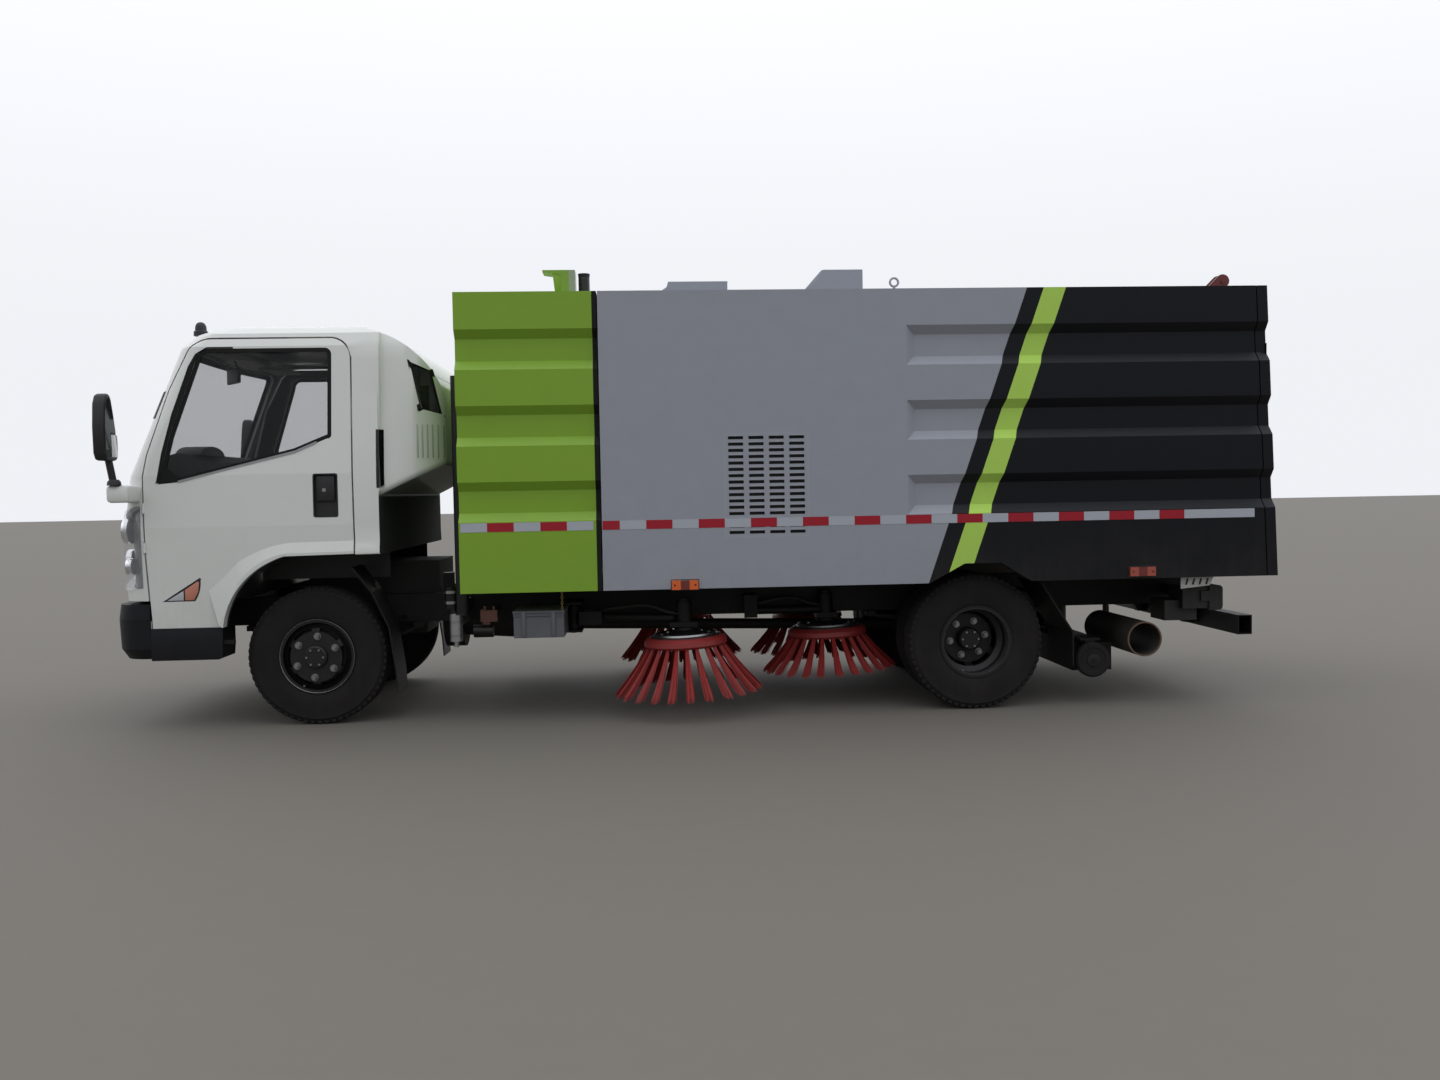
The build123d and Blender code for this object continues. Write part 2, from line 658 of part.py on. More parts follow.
def mirror_piece(cab):
    """Mirror on the driver's side, with its arm and its foot on the cab."""
    y = -CAB_HALF - 150
    head = Pos(-1000, y - 20, 1712) * Box(74, 180, 370)
    head = chamfer(fillet(head.edges().filter_by(Axis.Y), 24).edges().group_by(Axis.Y)[0], 14)
    small = Pos(-965, y - 10, 1480) * Box(64, 160, 110)
    small = fillet(small.edges().filter_by(Axis.Y), 18)
    stem = rod((-985, y + 10, 1300), (-992, y + 10, 1560), 13)
    foot = block(-1075, -930, y - 5, -CAB_HALF + 180, 1292, 1389)
    foot = fillet(foot.edges().filter_by(Axis.Y), 30)
    return joined([head, small, stem, foot]) - cab


def cab_tilt_arms():
    """Arms under the cab floor with the eyes that it tilts on."""
    pieces = []
    for s in (-1, 1):
        y = s * CAB_TILT_ARM_Y
        eye = rod((CAB_TILT_X, y - 15, CAB_TILT_Z), (CAB_TILT_X, y + 15, CAB_TILT_Z), 32)
        arm = block(CAB_TILT_X - 25, CAB_TILT_X + 25, y - 15, y + 15, CAB_TILT_Z, FOOTWELL_FLOOR - 10)
        hole = rod((CAB_TILT_X, y - 20, CAB_TILT_Z), (CAB_TILT_X, y + 20, CAB_TILT_Z),
                   CAB_TILT_PIN_RADIUS + PIN_CLEARANCE)
        pieces.append(eye + arm - hole)
    return pieces


def cab_tilt_brackets():
    """Plates and pins at the front of the frame that the cab tilts on."""
    pieces = []
    for s in (-1, 1):
        y0, y1 = sorted((s * RAIL_Y, s * (RAIL_Y + 14)))
        plate = side_prism(outline((CAB_TILT_X - 20, CAB_TILT_Z - 22), (CAB_TILT_X + 120, RAIL_LOW + 20),
                                   (CAB_TILT_X + 120, RAIL_TOP - 20), (CAB_TILT_X + 22, RAIL_TOP - 20),
                                   (CAB_TILT_X - 22, CAB_TILT_Z + 20)), y0, y1)
        pin = rod((CAB_TILT_X, s * (RAIL_Y + 5), CAB_TILT_Z),
                  (CAB_TILT_X, s * (CAB_TILT_ARM_Y + 22), CAB_TILT_Z), CAB_TILT_PIN_RADIUS)
        pieces.append(plate + pin)
    return pieces


# Bumper, steps and pieces on the frame

def front_bumper():
    def level(f, w):
        x1 = f + 50
        r = 150
        k = r * (1 - cos(radians(45)))
        return outline((BUMPER_REAR, -w), (x1 + r, -w), ((x1 + k, -w + k), (x1, -w + r)),
                       ((f, 0), (x1, w - r)), ((x1 + k, w - k), (x1 + r, w)), (BUMPER_REAR, w))
    outer = loft([Pos(0, 0, 412) * level(-1120, 930), Pos(0, 0, 470) * level(-1146, 960),
                  Pos(0, 0, 640) * level(-FRONT_OVERHANG, 968), Pos(0, 0, 722) * level(-1140, 962)],
                 ruled=True)
    inner = Pos(0, 0, 380) * extrude(level(-1100, 920), amount=712 - 380)
    top_opening = block(-1092, BUMPER_REAR + 10, -560, 560, 690, 740)
    brackets = []
    for s in (-1, 1):
        y0, y1 = sorted((s * 620, s * 700))
        brackets.append(block(-1040, -960, y0, y1, 714, CAB_FRONT_LOW))
    intake = [block(-1200, -1060, -420, 420, z, z + 30) for z in (486, 532, 578)]
    return joined([outer - inner - top_opening] + brackets) - intake


def steps():
    front = BUMPER_REAR + 8
    face = outline((front, 405), (-515, 405), (-509, 470), (-509, 574), (front, 574))
    y = 25 - CAB_HALF
    body = side_prism(face, y, -700)
    tread = block(-860, -540, y - 5, -760, 520, 580)
    bar = block(-509, -430, y, y + 25, 490, 512)
    arm = block(-800, -740, -700, -RAIL_Y, RAIL_LOW, 570)
    return body - tread + bar + arm


def front_mudguard():
    """Liner behind the front wheel on the driver's side."""
    face = outline((215, 905), (225, 900), (330, 760), (420, 560), (455, 300), (462, 180), (454, 180),
                   (446, 300), (412, 556), (322, 752), (213, 893))
    stay = rod((409, -650, 570), (409, -RAIL_Y, 570), 9)
    return side_prism(face, -900, -640) + stay


def rear_mudguard():
    x = WHEELBASE
    face = outline((x + 390, 735), (x + 575, 440), (x + 575, 240), (x + 567, 240), (x + 567, 436),
                   (x + 380, 731))
    stay = rod((x + 436, -RAIL_Y, 650), (x + 436, -560, 650), 12)
    return side_prism(face, -985, -545) + stay


def underrun_bar():
    bar = block(UNDERRUN_X, UNDERRUN_X + 84, -1000, 1000, 402, 516)
    inner = block(UNDERRUN_X + 6, UNDERRUN_X + 78, -1010, 1010, 408, 510)
    return bar - inner


def underrun_brackets():
    pieces = []
    for s in (-1, 1):
        y = s * 360
        x = UNDERRUN_X
        face = outline((x - 123, RAIL_LOW), (RAIL_REAR, RAIL_LOW), (x, 516), (x, 410), (x - 43, 410))
        pieces.append(side_prism(face, y - 30, y + 30))
    return pieces


def tail_lamps():
    pieces = []
    for s in (-1, 1):
        y0, y1 = sorted((s * 960, s * 760))
        lamp = block(RAIL_REAR - 180, RAIL_REAR - 99, y0, y1, 545, 692)
        pieces.append(fillet(lamp.edges().filter_by(Axis.Y).sort_by(Axis.X)[-2:], 24))
    return pieces


def lamp_brackets():
    pieces = []
    for s in (-1, 1):
        y0, y1 = sorted((s * RAIL_Y, s * 960))
        arm = block(RAIL_REAR - 230, RAIL_REAR - 180, y0, y1, 600, 660)
        y0, y1 = sorted((s * 760, s * 945))
        back = block(RAIL_REAR - 335, RAIL_REAR - 180, y0, y1, 556, 684)
        y0, y1 = sorted((s * 700, s * 900))
        valves = block(RAIL_REAR - 425, RAIL_REAR - 230, y0, y1, 483, 603)
        pieces.append(joined([arm, back, valves]))
    return pieces


def fuel_tank():
    tank = block(TANK_FRONT, TANK_REAR, 520, 960, 330, 690)
    return fillet(tank.edges().filter_by(Axis.X), 60)


def fuel_straps():
    return [block(x, x + 40, RAIL_Y, 520, 560, 640) for x in (TANK_FRONT + 80, TANK_REAR - 125)]


def battery_box():
    box = block(BOX_FRONT, BOX_REAR, -1010, -665, 487, 628)
    lid = block(BOX_FRONT - 5, BOX_REAR + 5, -1015, -660, 628, 639)
    return box + lid


def battery_bracket():
    return [block(x, x + 40, -665, -RAIL_Y, 560, 625) for x in (BOX_FRONT + 34, BOX_REAR - 89)]


def canister():
    lower = rod((797, -900, 467), (797, -900, 617), 36)
    upper = rod((770, -900, 655), (770, -900, 782), 32)
    cap = block(735, 790, -930, -860, 782, 863)
    neck = rod((790, -900, 600), (775, -900, 660), 20)
    drain = rod((797, -900, 433), (797, -900, 467), 14)
    arm = block(770, 810, -900, -RAIL_Y, 540, 580)
    return joined([lower, upper, cap, neck, drain, arm])


def brake_valves():
    """Valve block and small reservoir ahead of the battery box."""
    body = block(940, 1035, -930, -860, 577, 642)
    ports = [rod((x, -895, 640), (x, -895, 662), 9) for x in (962, 1012)]
    can = rod((898, -900, 521), (1009, -900, 521), 36)
    link = block(950, 990, -912, -880, 545, 580)
    arm = block(960, 990, -880, -RAIL_Y, 592, 618)
    return joined([body, can, link, arm] + ports)


def intake_snorkel():
    pipe = block(768, 838, -720, -640, 590, 2000)
    pipe = fillet(pipe.edges().filter_by(Axis.Z), 20)
    arm = block(780, 820, -700, -RAIL_Y, 600, 680)
    return pipe + arm


# Fixed front compartment

def channel_cutter(x0, x1, mitred):
    pieces = []
    h = HALF_BODY
    for i in range(CHANNEL_COUNT):
        top = CHANNEL_TOP - i * CHANNEL_PITCH
        low = top - CHANNEL_HEIGHT
        run_out = 5 * CHANNEL_BEVEL / CHANNEL_DEPTH
        face = outline((-h - 5, top + run_out), (-h + CHANNEL_DEPTH, top - CHANNEL_BEVEL),
                       (-h + CHANNEL_DEPTH, low + CHANNEL_BEVEL), (-h - 5, low - run_out))
        groove = front_prism(face, x0, x1)
        if mitred:
            plan = outline((x0 - run_out, -h - 5), (x0 + CHANNEL_BEVEL, -h + CHANNEL_DEPTH),
                           (x1 + 100, -h + CHANNEL_DEPTH + 1), (x1 + 100, -h - 5))
            groove = front_prism(face, x0 - 60, x1) & top_prism(plan, low - 60, top + 60)
        pieces.append(groove)
        pieces.append(other_side(groove))
    return pieces


def front_compartment():
    whole = block(BODY_FRONT, SEAM_X - SEAL_WIDTH / 2, -HALF_BODY, HALF_BODY, BODY_LOW, BODY_TOP)
    for groove in channel_cutter(BODY_FRONT - 20, SEAM_X + 20, False):
        whole = whole - groove
    return whole


def seam_seal():
    x0 = SEAM_X - SEAL_WIDTH / 2
    ring = block(x0, x0 + SEAL_WIDTH, -HALF_BODY, HALF_BODY, BODY_LOW, BODY_TOP)
    hole = block(x0 - 5, x0 + SEAL_WIDTH + 5, -HALF_BODY + BODY_WALL, HALF_BODY - BODY_WALL,
                 BODY_LOW - 5, BODY_TOP - BODY_WALL)
    seal = ring - hole
    for groove in channel_cutter(BODY_FRONT - 20, SEAM_X + 40, False):
        seal = seal - groove
    return seal


def body_sills():
    """Sill beams between the frame and the fixed front compartment."""
    pieces = []
    for s in (-1, 1):
        y = s * SILL_Y
        front = block(BODY_FRONT + 20, BULKHEAD_X - 40, y - 30, y + 30, RAIL_TOP, BODY_LOW)
        rear = block(BULKHEAD_X - 40, RAIL_REAR - 100, y - 30, y + 30, RAIL_TOP, BODY_LOW - 8)
        pieces.append(front + rear)
    return pieces


def scoop():
    z = BODY_TOP
    y = FITTING_Y
    x = SEAM_X - 190
    neck = block(x, x + 83, y - 60, y + 60, z, z + 120)
    face = outline((x - 100, z + 142), (x - 100, z + 130), (x, z + 116), (x + 83, z + 116), (x + 83, z + 142))
    head = side_prism(face, y - 60, y + 60)
    return neck + head


def vent_elbow():
    z = BODY_TOP
    x = SEAM_X - 60
    pipe = rod((x, FITTING_Y, z), (x, FITTING_Y, z + 100), 32)
    return pipe + Pos(x, FITTING_Y, z + 100) * Sphere(32)


def auxiliary_engine():
    return block(SEAM_X + 130, BULKHEAD_X - 400, -480, 480, BODY_LOW, BODY_LOW + 667)


# Hopper

def rear_x(z):
    """Rear face of the body at a height."""
    share = (BODY_TOP - z) / (BODY_TOP - BODY_LOW)
    return BODY_REAR_TOP + share * (BODY_REAR_LOW - BODY_REAR_TOP)


def hopper():
    front = SEAM_X + SEAL_WIDTH / 2 + MOVING_GAP
    back = TAILGATE_THICKNESS + MOVING_GAP
    x = WHEELBASE
    face = outline((front, BODY_LOW), (x - 300, BODY_LOW), (x - 97, HOPPER_FLOOR_LOW),
                   (x + 112, HOPPER_FLOOR_LOW), (x + 290, BODY_LOW), (rear_x(BODY_LOW) - back, BODY_LOW),
                   (rear_x(BODY_TOP) - back, BODY_TOP), (front, BODY_TOP))
    whole = side_prism(face, -HALF_BODY, HALF_BODY)
    inner = HALF_BODY - BODY_WALL
    top = BODY_TOP - BODY_WALL
    whole = whole - block(front - 50, BULKHEAD_X, -inner, inner, BODY_LOW - 50, top)
    behind = BODY_REAR_LOW + 500
    whole = whole - block(BULKHEAD_X - 50, behind, -inner, inner, BODY_LOW - 50, HOPPER_FLOOR_LOW)
    whole = whole - block(BULKHEAD_X + BODY_WALL, behind, -inner, inner, HOPPER_FLOOR, top)
    for groove in channel_cutter(CHANNEL_START, behind, True):
        whole = whole - groove
    for s in (-1, 1):
        y0, y1 = sorted((s * (HALF_BODY + 5), s * (inner - 5)))
        whole = whole - block(LOUVRE_FRONT, LOUVRE_REAR, y0, y1, LOUVRE_LOW, LOUVRE_TOP)
    inlet = rod((COLLAR_X, 0, HOPPER_FLOOR_LOW - 20), (COLLAR_X, 0, HOPPER_FLOOR + 20),
                COLLAR_RADIUS - COLLAR_WALL)
    return joined([whole - inlet] + hopper_beams())


def lifting_eyes():
    pieces = []
    for s in (-1, 1):
        foot = rod((EYE_X, s * EYE_Y, BODY_TOP), (EYE_X, s * EYE_Y, BODY_TOP + 12), 22)
        stem = rod((EYE_X, s * EYE_Y, BODY_TOP), (EYE_X, s * EYE_Y, BODY_TOP + EYE_HEIGHT - EYE_RADIUS), 8)
        eye = Pos(EYE_X, s * EYE_Y, BODY_TOP + EYE_HEIGHT) * Rot(90, 0, 0) * ring(EYE_RADIUS, EYE_BAR)
        pieces.append(joined([foot, stem, eye]))
    return pieces


def tailgate_lugs():
    """Pairs of lugs on the roof, with the pins that the tailgate swings on."""
    pieces = []
    x = TAILGATE_HINGE_X
    z = TAILGATE_HINGE_Z
    rear = BODY_REAR_TOP - TAILGATE_THICKNESS - MOVING_GAP
    face = outline((rear - 130, BODY_TOP), (rear - 2, BODY_TOP), (x + 34, z - 20),
                   ((x + 40, z), (x + 26, z + 32)), ((x - 2, z + 42), (x - 32, z + 28)))
    for y in (-TAILGATE_HINGE_Y, TAILGATE_HINGE_Y):
        lugs = [side_prism(face, y + e, y + e + 12) for e in (-34, 22)]
        pin = rod((x, y - 40, z), (x, y + 40, z), TAILGATE_PIN_RADIUS)
        pieces.append(joined(lugs + [pin]))
    return pieces


def hopper_beams():
    """Long beams under the hopper floor with the hinge eyes at their rear."""
    pieces = []
    for s in (-1, 1):
        y = s * SILL_Y
        beam = block(BULKHEAD_X, HOPPER_HINGE_X + 60, y - 30, y + 30, BODY_LOW - 2, HOPPER_FLOOR_LOW)
        hole = rod((HOPPER_HINGE_X, y - 40, HOPPER_HINGE_Z),
                   (HOPPER_HINGE_X, y + 40, HOPPER_HINGE_Z), HINGE_PIN_RADIUS + PIN_CLEARANCE)
        pieces.append(beam - hole)
        y0, y1 = sorted((s * 46, s * 62))
        lug = block(ROD_EYE_X - 50, ROD_EYE_X + 50, y0, y1, ROD_EYE_Z - 45, HOPPER_FLOOR_LOW)
        hole = rod((ROD_EYE_X, y0, ROD_EYE_Z), (ROD_EYE_X, y1, ROD_EYE_Z), HINGE_PIN_RADIUS)
        pieces.append(lug - hole)
    return pieces


def hinge_brackets():
    pieces = []
    for s in (-1, 1):
        y0, y1 = sorted((s * RAIL_Y, s * (RAIL_Y + 12)))
        plate = block(HOPPER_HINGE_X - 38, HOPPER_HINGE_X + 38, y0, y1, 570, HOPPER_HINGE_Z + 30)
        pin = rod((HOPPER_HINGE_X, s * (RAIL_Y + 12), HOPPER_HINGE_Z),
                  (HOPPER_HINGE_X, s * 330, HOPPER_HINGE_Z), HINGE_PIN_RADIUS)
        pieces.append(plate + pin)
    return pieces


def louvre_panels():
    y = HALF_BODY
    panel = block(LOUVRE_FRONT, LOUVRE_REAR, -y, -y + LOUVRE_PLATE, LOUVRE_LOW, LOUVRE_TOP)
    slots = []
    x0 = (LOUVRE_FRONT + LOUVRE_REAR) / 2 - SLOT_COLUMN_PITCH * (SLOT_COLUMNS - 1) / 2
    z0 = (LOUVRE_LOW + LOUVRE_TOP) / 2 - SLOT_ROW_PITCH * (SLOT_ROWS - 1) / 2
    for i in range(SLOT_COLUMNS):
        for j in range(SLOT_ROWS):
            x = x0 + i * SLOT_COLUMN_PITCH
            z = z0 + j * SLOT_ROW_PITCH
            slots.append(block(x - SLOT_LENGTH / 2, x + SLOT_LENGTH / 2, -y - 5, -y + 10,
                               z - SLOT_HEIGHT / 2, z + SLOT_HEIGHT / 2))
    panel = panel - slots
    return both_sides(panel)


def tailgate():
    t = TAILGATE_THICKNESS
    low_x = rear_x(BODY_LOW)
    top_x = rear_x(BODY_TOP)
    face = outline((low_x - t, BODY_LOW), (low_x, BODY_LOW), (top_x, BODY_TOP), (top_x - t, BODY_TOP))
    door = side_prism(face, -HALF_BODY, HALF_BODY)
    for groove in channel_cutter(CHANNEL_START, BODY_REAR_LOW + 500, True) + rear_channels():
        door = door - groove
    return joined([door] + tailgate_arms())


def rear_channels():
    """Pressed channels across the rear face, level with those of the sides."""
    pieces = []
    depth = CHANNEL_DEPTH - 15
    half = HALF_BODY - 120
    for i in range(CHANNEL_COUNT):
        top = CHANNEL_TOP - i * CHANNEL_PITCH
        low = top - CHANNEL_HEIGHT
        face = outline((rear_x(top) + 5, top), (rear_x(top) - depth, top - CHANNEL_BEVEL),
                       (rear_x(low) - depth, low + CHANNEL_BEVEL), (rear_x(low) + 5, low))
        pieces.append(side_prism(face, -half, half))
    return pieces


def tailgate_arms():
    """Arms that rise from the tailgate's top to its pins."""
    pieces = []
    x = TAILGATE_HINGE_X
    z = TAILGATE_HINGE_Z
    hole_radius = TAILGATE_PIN_RADIUS + PIN_CLEARANCE
    for y in (-TAILGATE_HINGE_Y, TAILGATE_HINGE_Y):
        face = outline((x - 22, BODY_TOP - 5), (BODY_REAR_TOP - 2, BODY_TOP - 5), (x + 29, z), (x - 29, z))
        arm = side_prism(face, y - 14, y + 14) + rod((x, y - 14, z), (x, y + 14, z), 29)
        pieces.append(arm - rod((x, y - 20, z), (x, y + 20, z), hole_radius))
    return pieces


def hoods():
    pieces = []
    for x0, x1, slope, height, half in HOODS:
        front = SEAM_X + x0
        rear = SEAM_X + x1
        top = BODY_TOP + height
        face = outline((front, BODY_TOP), (rear, BODY_TOP), (rear, top), (front + slope, top))
        pieces.append(side_prism(face, HOOD_Y - half, HOOD_Y + half))
    return pieces


# Tipping cylinder

def tip_direction():
    dx = ROD_EYE_X - BARREL_X
    dz = ROD_EYE_Z - BARREL_Z
    length = hypot(dx, dz)
    return dx / length, dz / length, length


def along(distance):
    ux, uz, length = tip_direction()
    return (BARREL_X + ux * distance, 0, BARREL_Z + uz * distance)


def tip_barrel():
    ux, uz, length = tip_direction()
    eye = rod((BARREL_X, -40, BARREL_Z), (BARREL_X, 40, BARREL_Z), 42) + rod(along(0), along(85), 34)
    barrel = rod(along(80), along(length - 130), 55)
    hole = rod((BARREL_X, -60, BARREL_Z), (BARREL_X, 60, BARREL_Z), HINGE_PIN_RADIUS + PIN_CLEARANCE)
    bore = rod(along(98), along(length - 100), 30 + PIN_CLEARANCE)
    return eye + barrel - hole - bore


def tip_rod():
    ux, uz, length = tip_direction()
    x, y, z = along(length)
    eye = rod((x, -40, z), (x, 40, z), 40)
    shaft = rod(along(100), along(length - 20), 30)
    return eye + shaft


def cylinder_cradle():
    pieces = [rod((BARREL_X, -90, BARREL_Z), (BARREL_X, 90, BARREL_Z), HINGE_PIN_RADIUS)]
    for s in (-1, 1):
        y0, y1 = sorted((s * 46, s * 66))
        pieces.append(block(BARREL_X - 44, BARREL_X + 44, y0, y1, BARREL_Z - 58, BARREL_Z + 40))
    w = RAIL_Y - RAIL_FLANGE
    beam = block(BARREL_X - 60, BARREL_X + 60, -w, w, RAIL_LOW, BARREL_Z - 46)
    return joined(pieces + [beam])


# Brushes

def brush(x, y):
    """Disc with a ring of flared tufts, spun about an upright line."""
    disc = Cylinder(BRUSH_DISC_RADIUS, BRUSH_DISC_THICKNESS)
    ring = Pos(0, 0, 18) * (Cylinder(172, 16) - Cylinder(150, 20))
    boss = Pos(0, 0, 30) * Cylinder(52, 60)
    drop = BRUSH_DISC_Z - BRUSH_TIP_Z
    root_r = BRUSH_DISC_RADIUS - 30
    reach = BRUSH_RADIUS - root_r
    length = hypot(reach, drop)
    angle = degrees(atan2(reach, drop))
    face = outline((-14, 0), (14, 0), (30, -length), (-30, -length))
    tuft = Rot(0, 0, 90) * side_prism(face, -9, 9)
    tuft = Pos(root_r, 0, 4) * Rot(0, -angle, 0) * tuft
    tufts = [Rot(0, 0, 360 * i / BRUSH_TUFTS) * tuft for i in range(BRUSH_TUFTS)]
    whole = joined([disc, ring, boss]) + tufts
    return Pos(x, y, BRUSH_DISC_Z) * Rot(0, -BRUSH_TILT, 0) * whole


def brush_motor(x, y):
    """Motor with its stepped cap and two hose ports, on the brush's own line."""
    body = rod((0, 0, 66), (0, 0, 216), 46)
    cap = rod((0, 0, 216), (0, 0, 236), 34)
    ports = [rod((0, e, 150), (-62, e, 150), 11) for e in (-22, 22)]
    return Pos(x, y, BRUSH_DISC_Z) * Rot(0, -BRUSH_TILT, 0) * joined([body, cap] + ports)


def outer_arm():
    """Lifting arm of the outer brush, with its motor."""
    x, y = OUTER_BRUSH_X, -OUTER_BRUSH_Y
    z = ARM_Z
    px = OUTER_PIVOT_X
    py = -OUTER_PIVOT_Y
    pipe = rod((px, py, z), (x - 60, y, z), 28)
    plate = block(x - 90, x + 70, y - 60, y + 60, z - 50, z - 20)
    pivot = rod((px, py - 60, z), (px, py + 60, z), 34)
    hole = rod((px, py - 80, z), (px, py + 80, z), ARM_PIN_RADIUS + PIN_CLEARANCE)
    return joined([pipe, plate, pivot, brush_motor(x, y)]) - hole


def outer_swing():
    """Swinging bracket between the frame and the lifting arm."""
    z = ARM_Z
    place = Pos(SWING_POST_X, -SWING_POST_Y, z)
    post = place * (Cylinder(40, 130) - Cylinder(HINGE_PIN_RADIUS + PIN_CLEARANCE, 140))
    px = OUTER_PIVOT_X
    py = -OUTER_PIVOT_Y
    ears = [block(px - 80, px + 40, y, y + 10, z - 40, z + 40) for y in (py - 76, py + 66)]
    bridge = block(px - 94, px - 68, py - 76, py + 76, z - 40, z + 40)
    pin = rod((px, py - 76, z), (px, py + 76, z), ARM_PIN_RADIUS)
    return joined([post, bridge, pin] + ears)


def outer_hanger():
    """Bracket on the frame with the pin that the swinging bracket turns on."""
    z = ARM_Z
    x = SWING_POST_X
    y = -SWING_POST_Y
    pin = Pos(x, y, z) * Cylinder(HINGE_PIN_RADIUS, 190)
    plates = [block(x - 50, x + 50, y - 50, -RAIL_Y, z + e, z + e + 14) for e in (-90, 76)]
    web = block(x - 50, x - 36, y + 40, -RAIL_Y, z - 76, z + 76)
    return joined([pin, web] + plates)


def inner_arm():
    x, y = INNER_BRUSH_X, -INNER_BRUSH_Y
    z = ARM_Z
    px = INNER_PIVOT_X
    pipe = rod((px, y, z), (x - 40, y, z), 26)
    pivot = rod((px, y - 40, z), (px, y + 40, z), 32)
    hole = rod((px, y - 60, z), (px, y + 60, z), ARM_PIN_RADIUS + PIN_CLEARANCE)
    plate = block(x - 70, x + 60, y - 55, y + 55, z - 50, z - 20)
    return joined([pipe, pivot, plate, brush_motor(x, y)]) - hole


def inner_hanger():
    y = -INNER_BRUSH_Y
    z = ARM_Z
    x = INNER_PIVOT_X
    pin = rod((x, y - 66, z), (x, -RAIL_Y, z), ARM_PIN_RADIUS)
    plate = block(x - 40, x + 40, y - 60, y - 48, z - 40, z + 100)
    bridge = block(x - 40, x + 40, y - 60, -RAIL_Y, z + 86, z + 100)
    return joined([pin, plate, bridge])


# Suction nozzle

def nozzle():
    t = NOZZLE_WALL
    w = NOZZLE_HALF_WIDTH
    outer = block(NOZZLE_FRONT, NOZZLE_REAR, -w, w, NOZZLE_LOW, NOZZLE_TOP)
    inner = block(NOZZLE_FRONT + t, NOZZLE_REAR - t, -w + t, w - t, NOZZLE_LOW - t, NOZZLE_TOP - t)
    pipe = rod((COLLAR_X, 0, NOZZLE_TOP - t), (COLLAR_X, 0, BODY_LOW - 13), COLLAR_RADIUS - 24)
    bore = rod((COLLAR_X, 0, NOZZLE_TOP - t - 20), (COLLAR_X, 0, BODY_LOW + 27), COLLAR_RADIUS - 30)
    ears = []
    for s in (-1, 1):
        y = s * LINK_Y
        for e in (-40, 25):
            ears.append(block(LINK_END_X - 25, LINK_END_X + 25, y + e, y + e + 15,
                              NOZZLE_TOP, LINK_END_Z + 25))
        ears.append(rod((LINK_END_X, y - 40, LINK_END_Z), (LINK_END_X, y + 40, LINK_END_Z),
                        LINK_PIN_RADIUS))
        y0, y1 = sorted((s * w, s * (w + 95)))
        ears.append(block(NOZZLE_WHEEL_X - 60, NOZZLE_WHEEL_X + 60, y0, y1,
                          NOZZLE_TOP + 25, NOZZLE_TOP + 40))
        ears.append(block(NOZZLE_WHEEL_X - 60, NOZZLE_WHEEL_X + 60, *sorted((s * (w - 60), s * w)),
                          NOZZLE_TOP - 5, NOZZLE_TOP + 40))
        ears.append(block(NOZZLE_WHEEL_X - 30, NOZZLE_WHEEL_X + 30, *sorted((s * (w + 80), s * (w + 95))),
                          NOZZLE_WHEEL_Z - 30, NOZZLE_TOP + 25))
        ears.append(rod((NOZZLE_WHEEL_X, s * (w + 80), NOZZLE_WHEEL_Z),
                        (NOZZLE_WHEEL_X, s * (NOZZLE_WHEEL_Y + 30), NOZZLE_WHEEL_Z), LINK_PIN_RADIUS))
    return joined([outer - inner, pipe] + ears) - bore


def nozzle_wheel():
    r = NOZZLE_WHEEL_RADIUS
    w = NOZZLE_WHEEL_WIDTH / 2
    bore = LINK_PIN_RADIUS + PIN_CLEARANCE
    face = outline((bore, -w + 4), (r - 34, -w + 4), (r - 30, -w), (r - 10, -w), (r, -w + 12), (r, w - 12),
                   (r - 10, w), (r - 30, w), (r - 34, w - 4), (bore, w - 4))
    return around_y(face, NOZZLE_WHEEL_X, -NOZZLE_WHEEL_Y, NOZZLE_WHEEL_Z)


def nozzle_links():
    pieces = []
    for s in (-1, 1):
        y = s * LINK_Y
        bar = rod((LINK_X, y, LINK_Z), (LINK_END_X, y, LINK_END_Z), 14)
        ends = ((LINK_X, LINK_Z), (LINK_END_X, LINK_END_Z))
        eyes = [rod((x, y - 20, z), (x, y + 20, z), 22) for x, z in ends]
        bore = LINK_PIN_RADIUS + PIN_CLEARANCE
        holes = [rod((x, y - 30, z), (x, y + 30, z), bore) for x, z in ends]
        pieces.append(joined([bar] + eyes) - joined(holes))
    cross = rod((LINK_X + 235, -LINK_Y, LINK_Z + 35), (LINK_X + 235, LINK_Y, LINK_Z + 35), 12)
    return joined(pieces + [cross])


def link_hangers():
    pieces = []
    for s in (-1, 1):
        y = s * LINK_Y
        ears = [block(LINK_X - 25, LINK_X + 25, y + e, y + e + 12, LINK_Z - 25, RAIL_LOW)
                for e in (-40, 28)]
        pin = rod((LINK_X, y - 40, LINK_Z), (LINK_X, y + 40, LINK_Z), LINK_PIN_RADIUS)
        pad = block(LINK_X - 25, LINK_X + 25, y - 40, y + 40, RAIL_LOW - 12, RAIL_LOW)
        pieces.append(joined(ears + [pin, pad]))
    return pieces


def suction_collar():
    inner = COLLAR_RADIUS - COLLAR_WALL
    ring = tube((COLLAR_X, 0, 560), (COLLAR_X, 0, HOPPER_FLOOR_LOW - MOVING_GAP), COLLAR_RADIUS, inner)
    stays = []
    for s in (-1, 1):
        y0, y1 = sorted((s * (COLLAR_RADIUS - 4), s * (RAIL_Y - RAIL_WALL)))
        stays.append(block(COLLAR_X - 20, COLLAR_X + 20, y0, y1, 600, 640))
    return joined([ring] + stays) - rod((COLLAR_X, 0, 500), (COLLAR_X, 0, 900), inner)


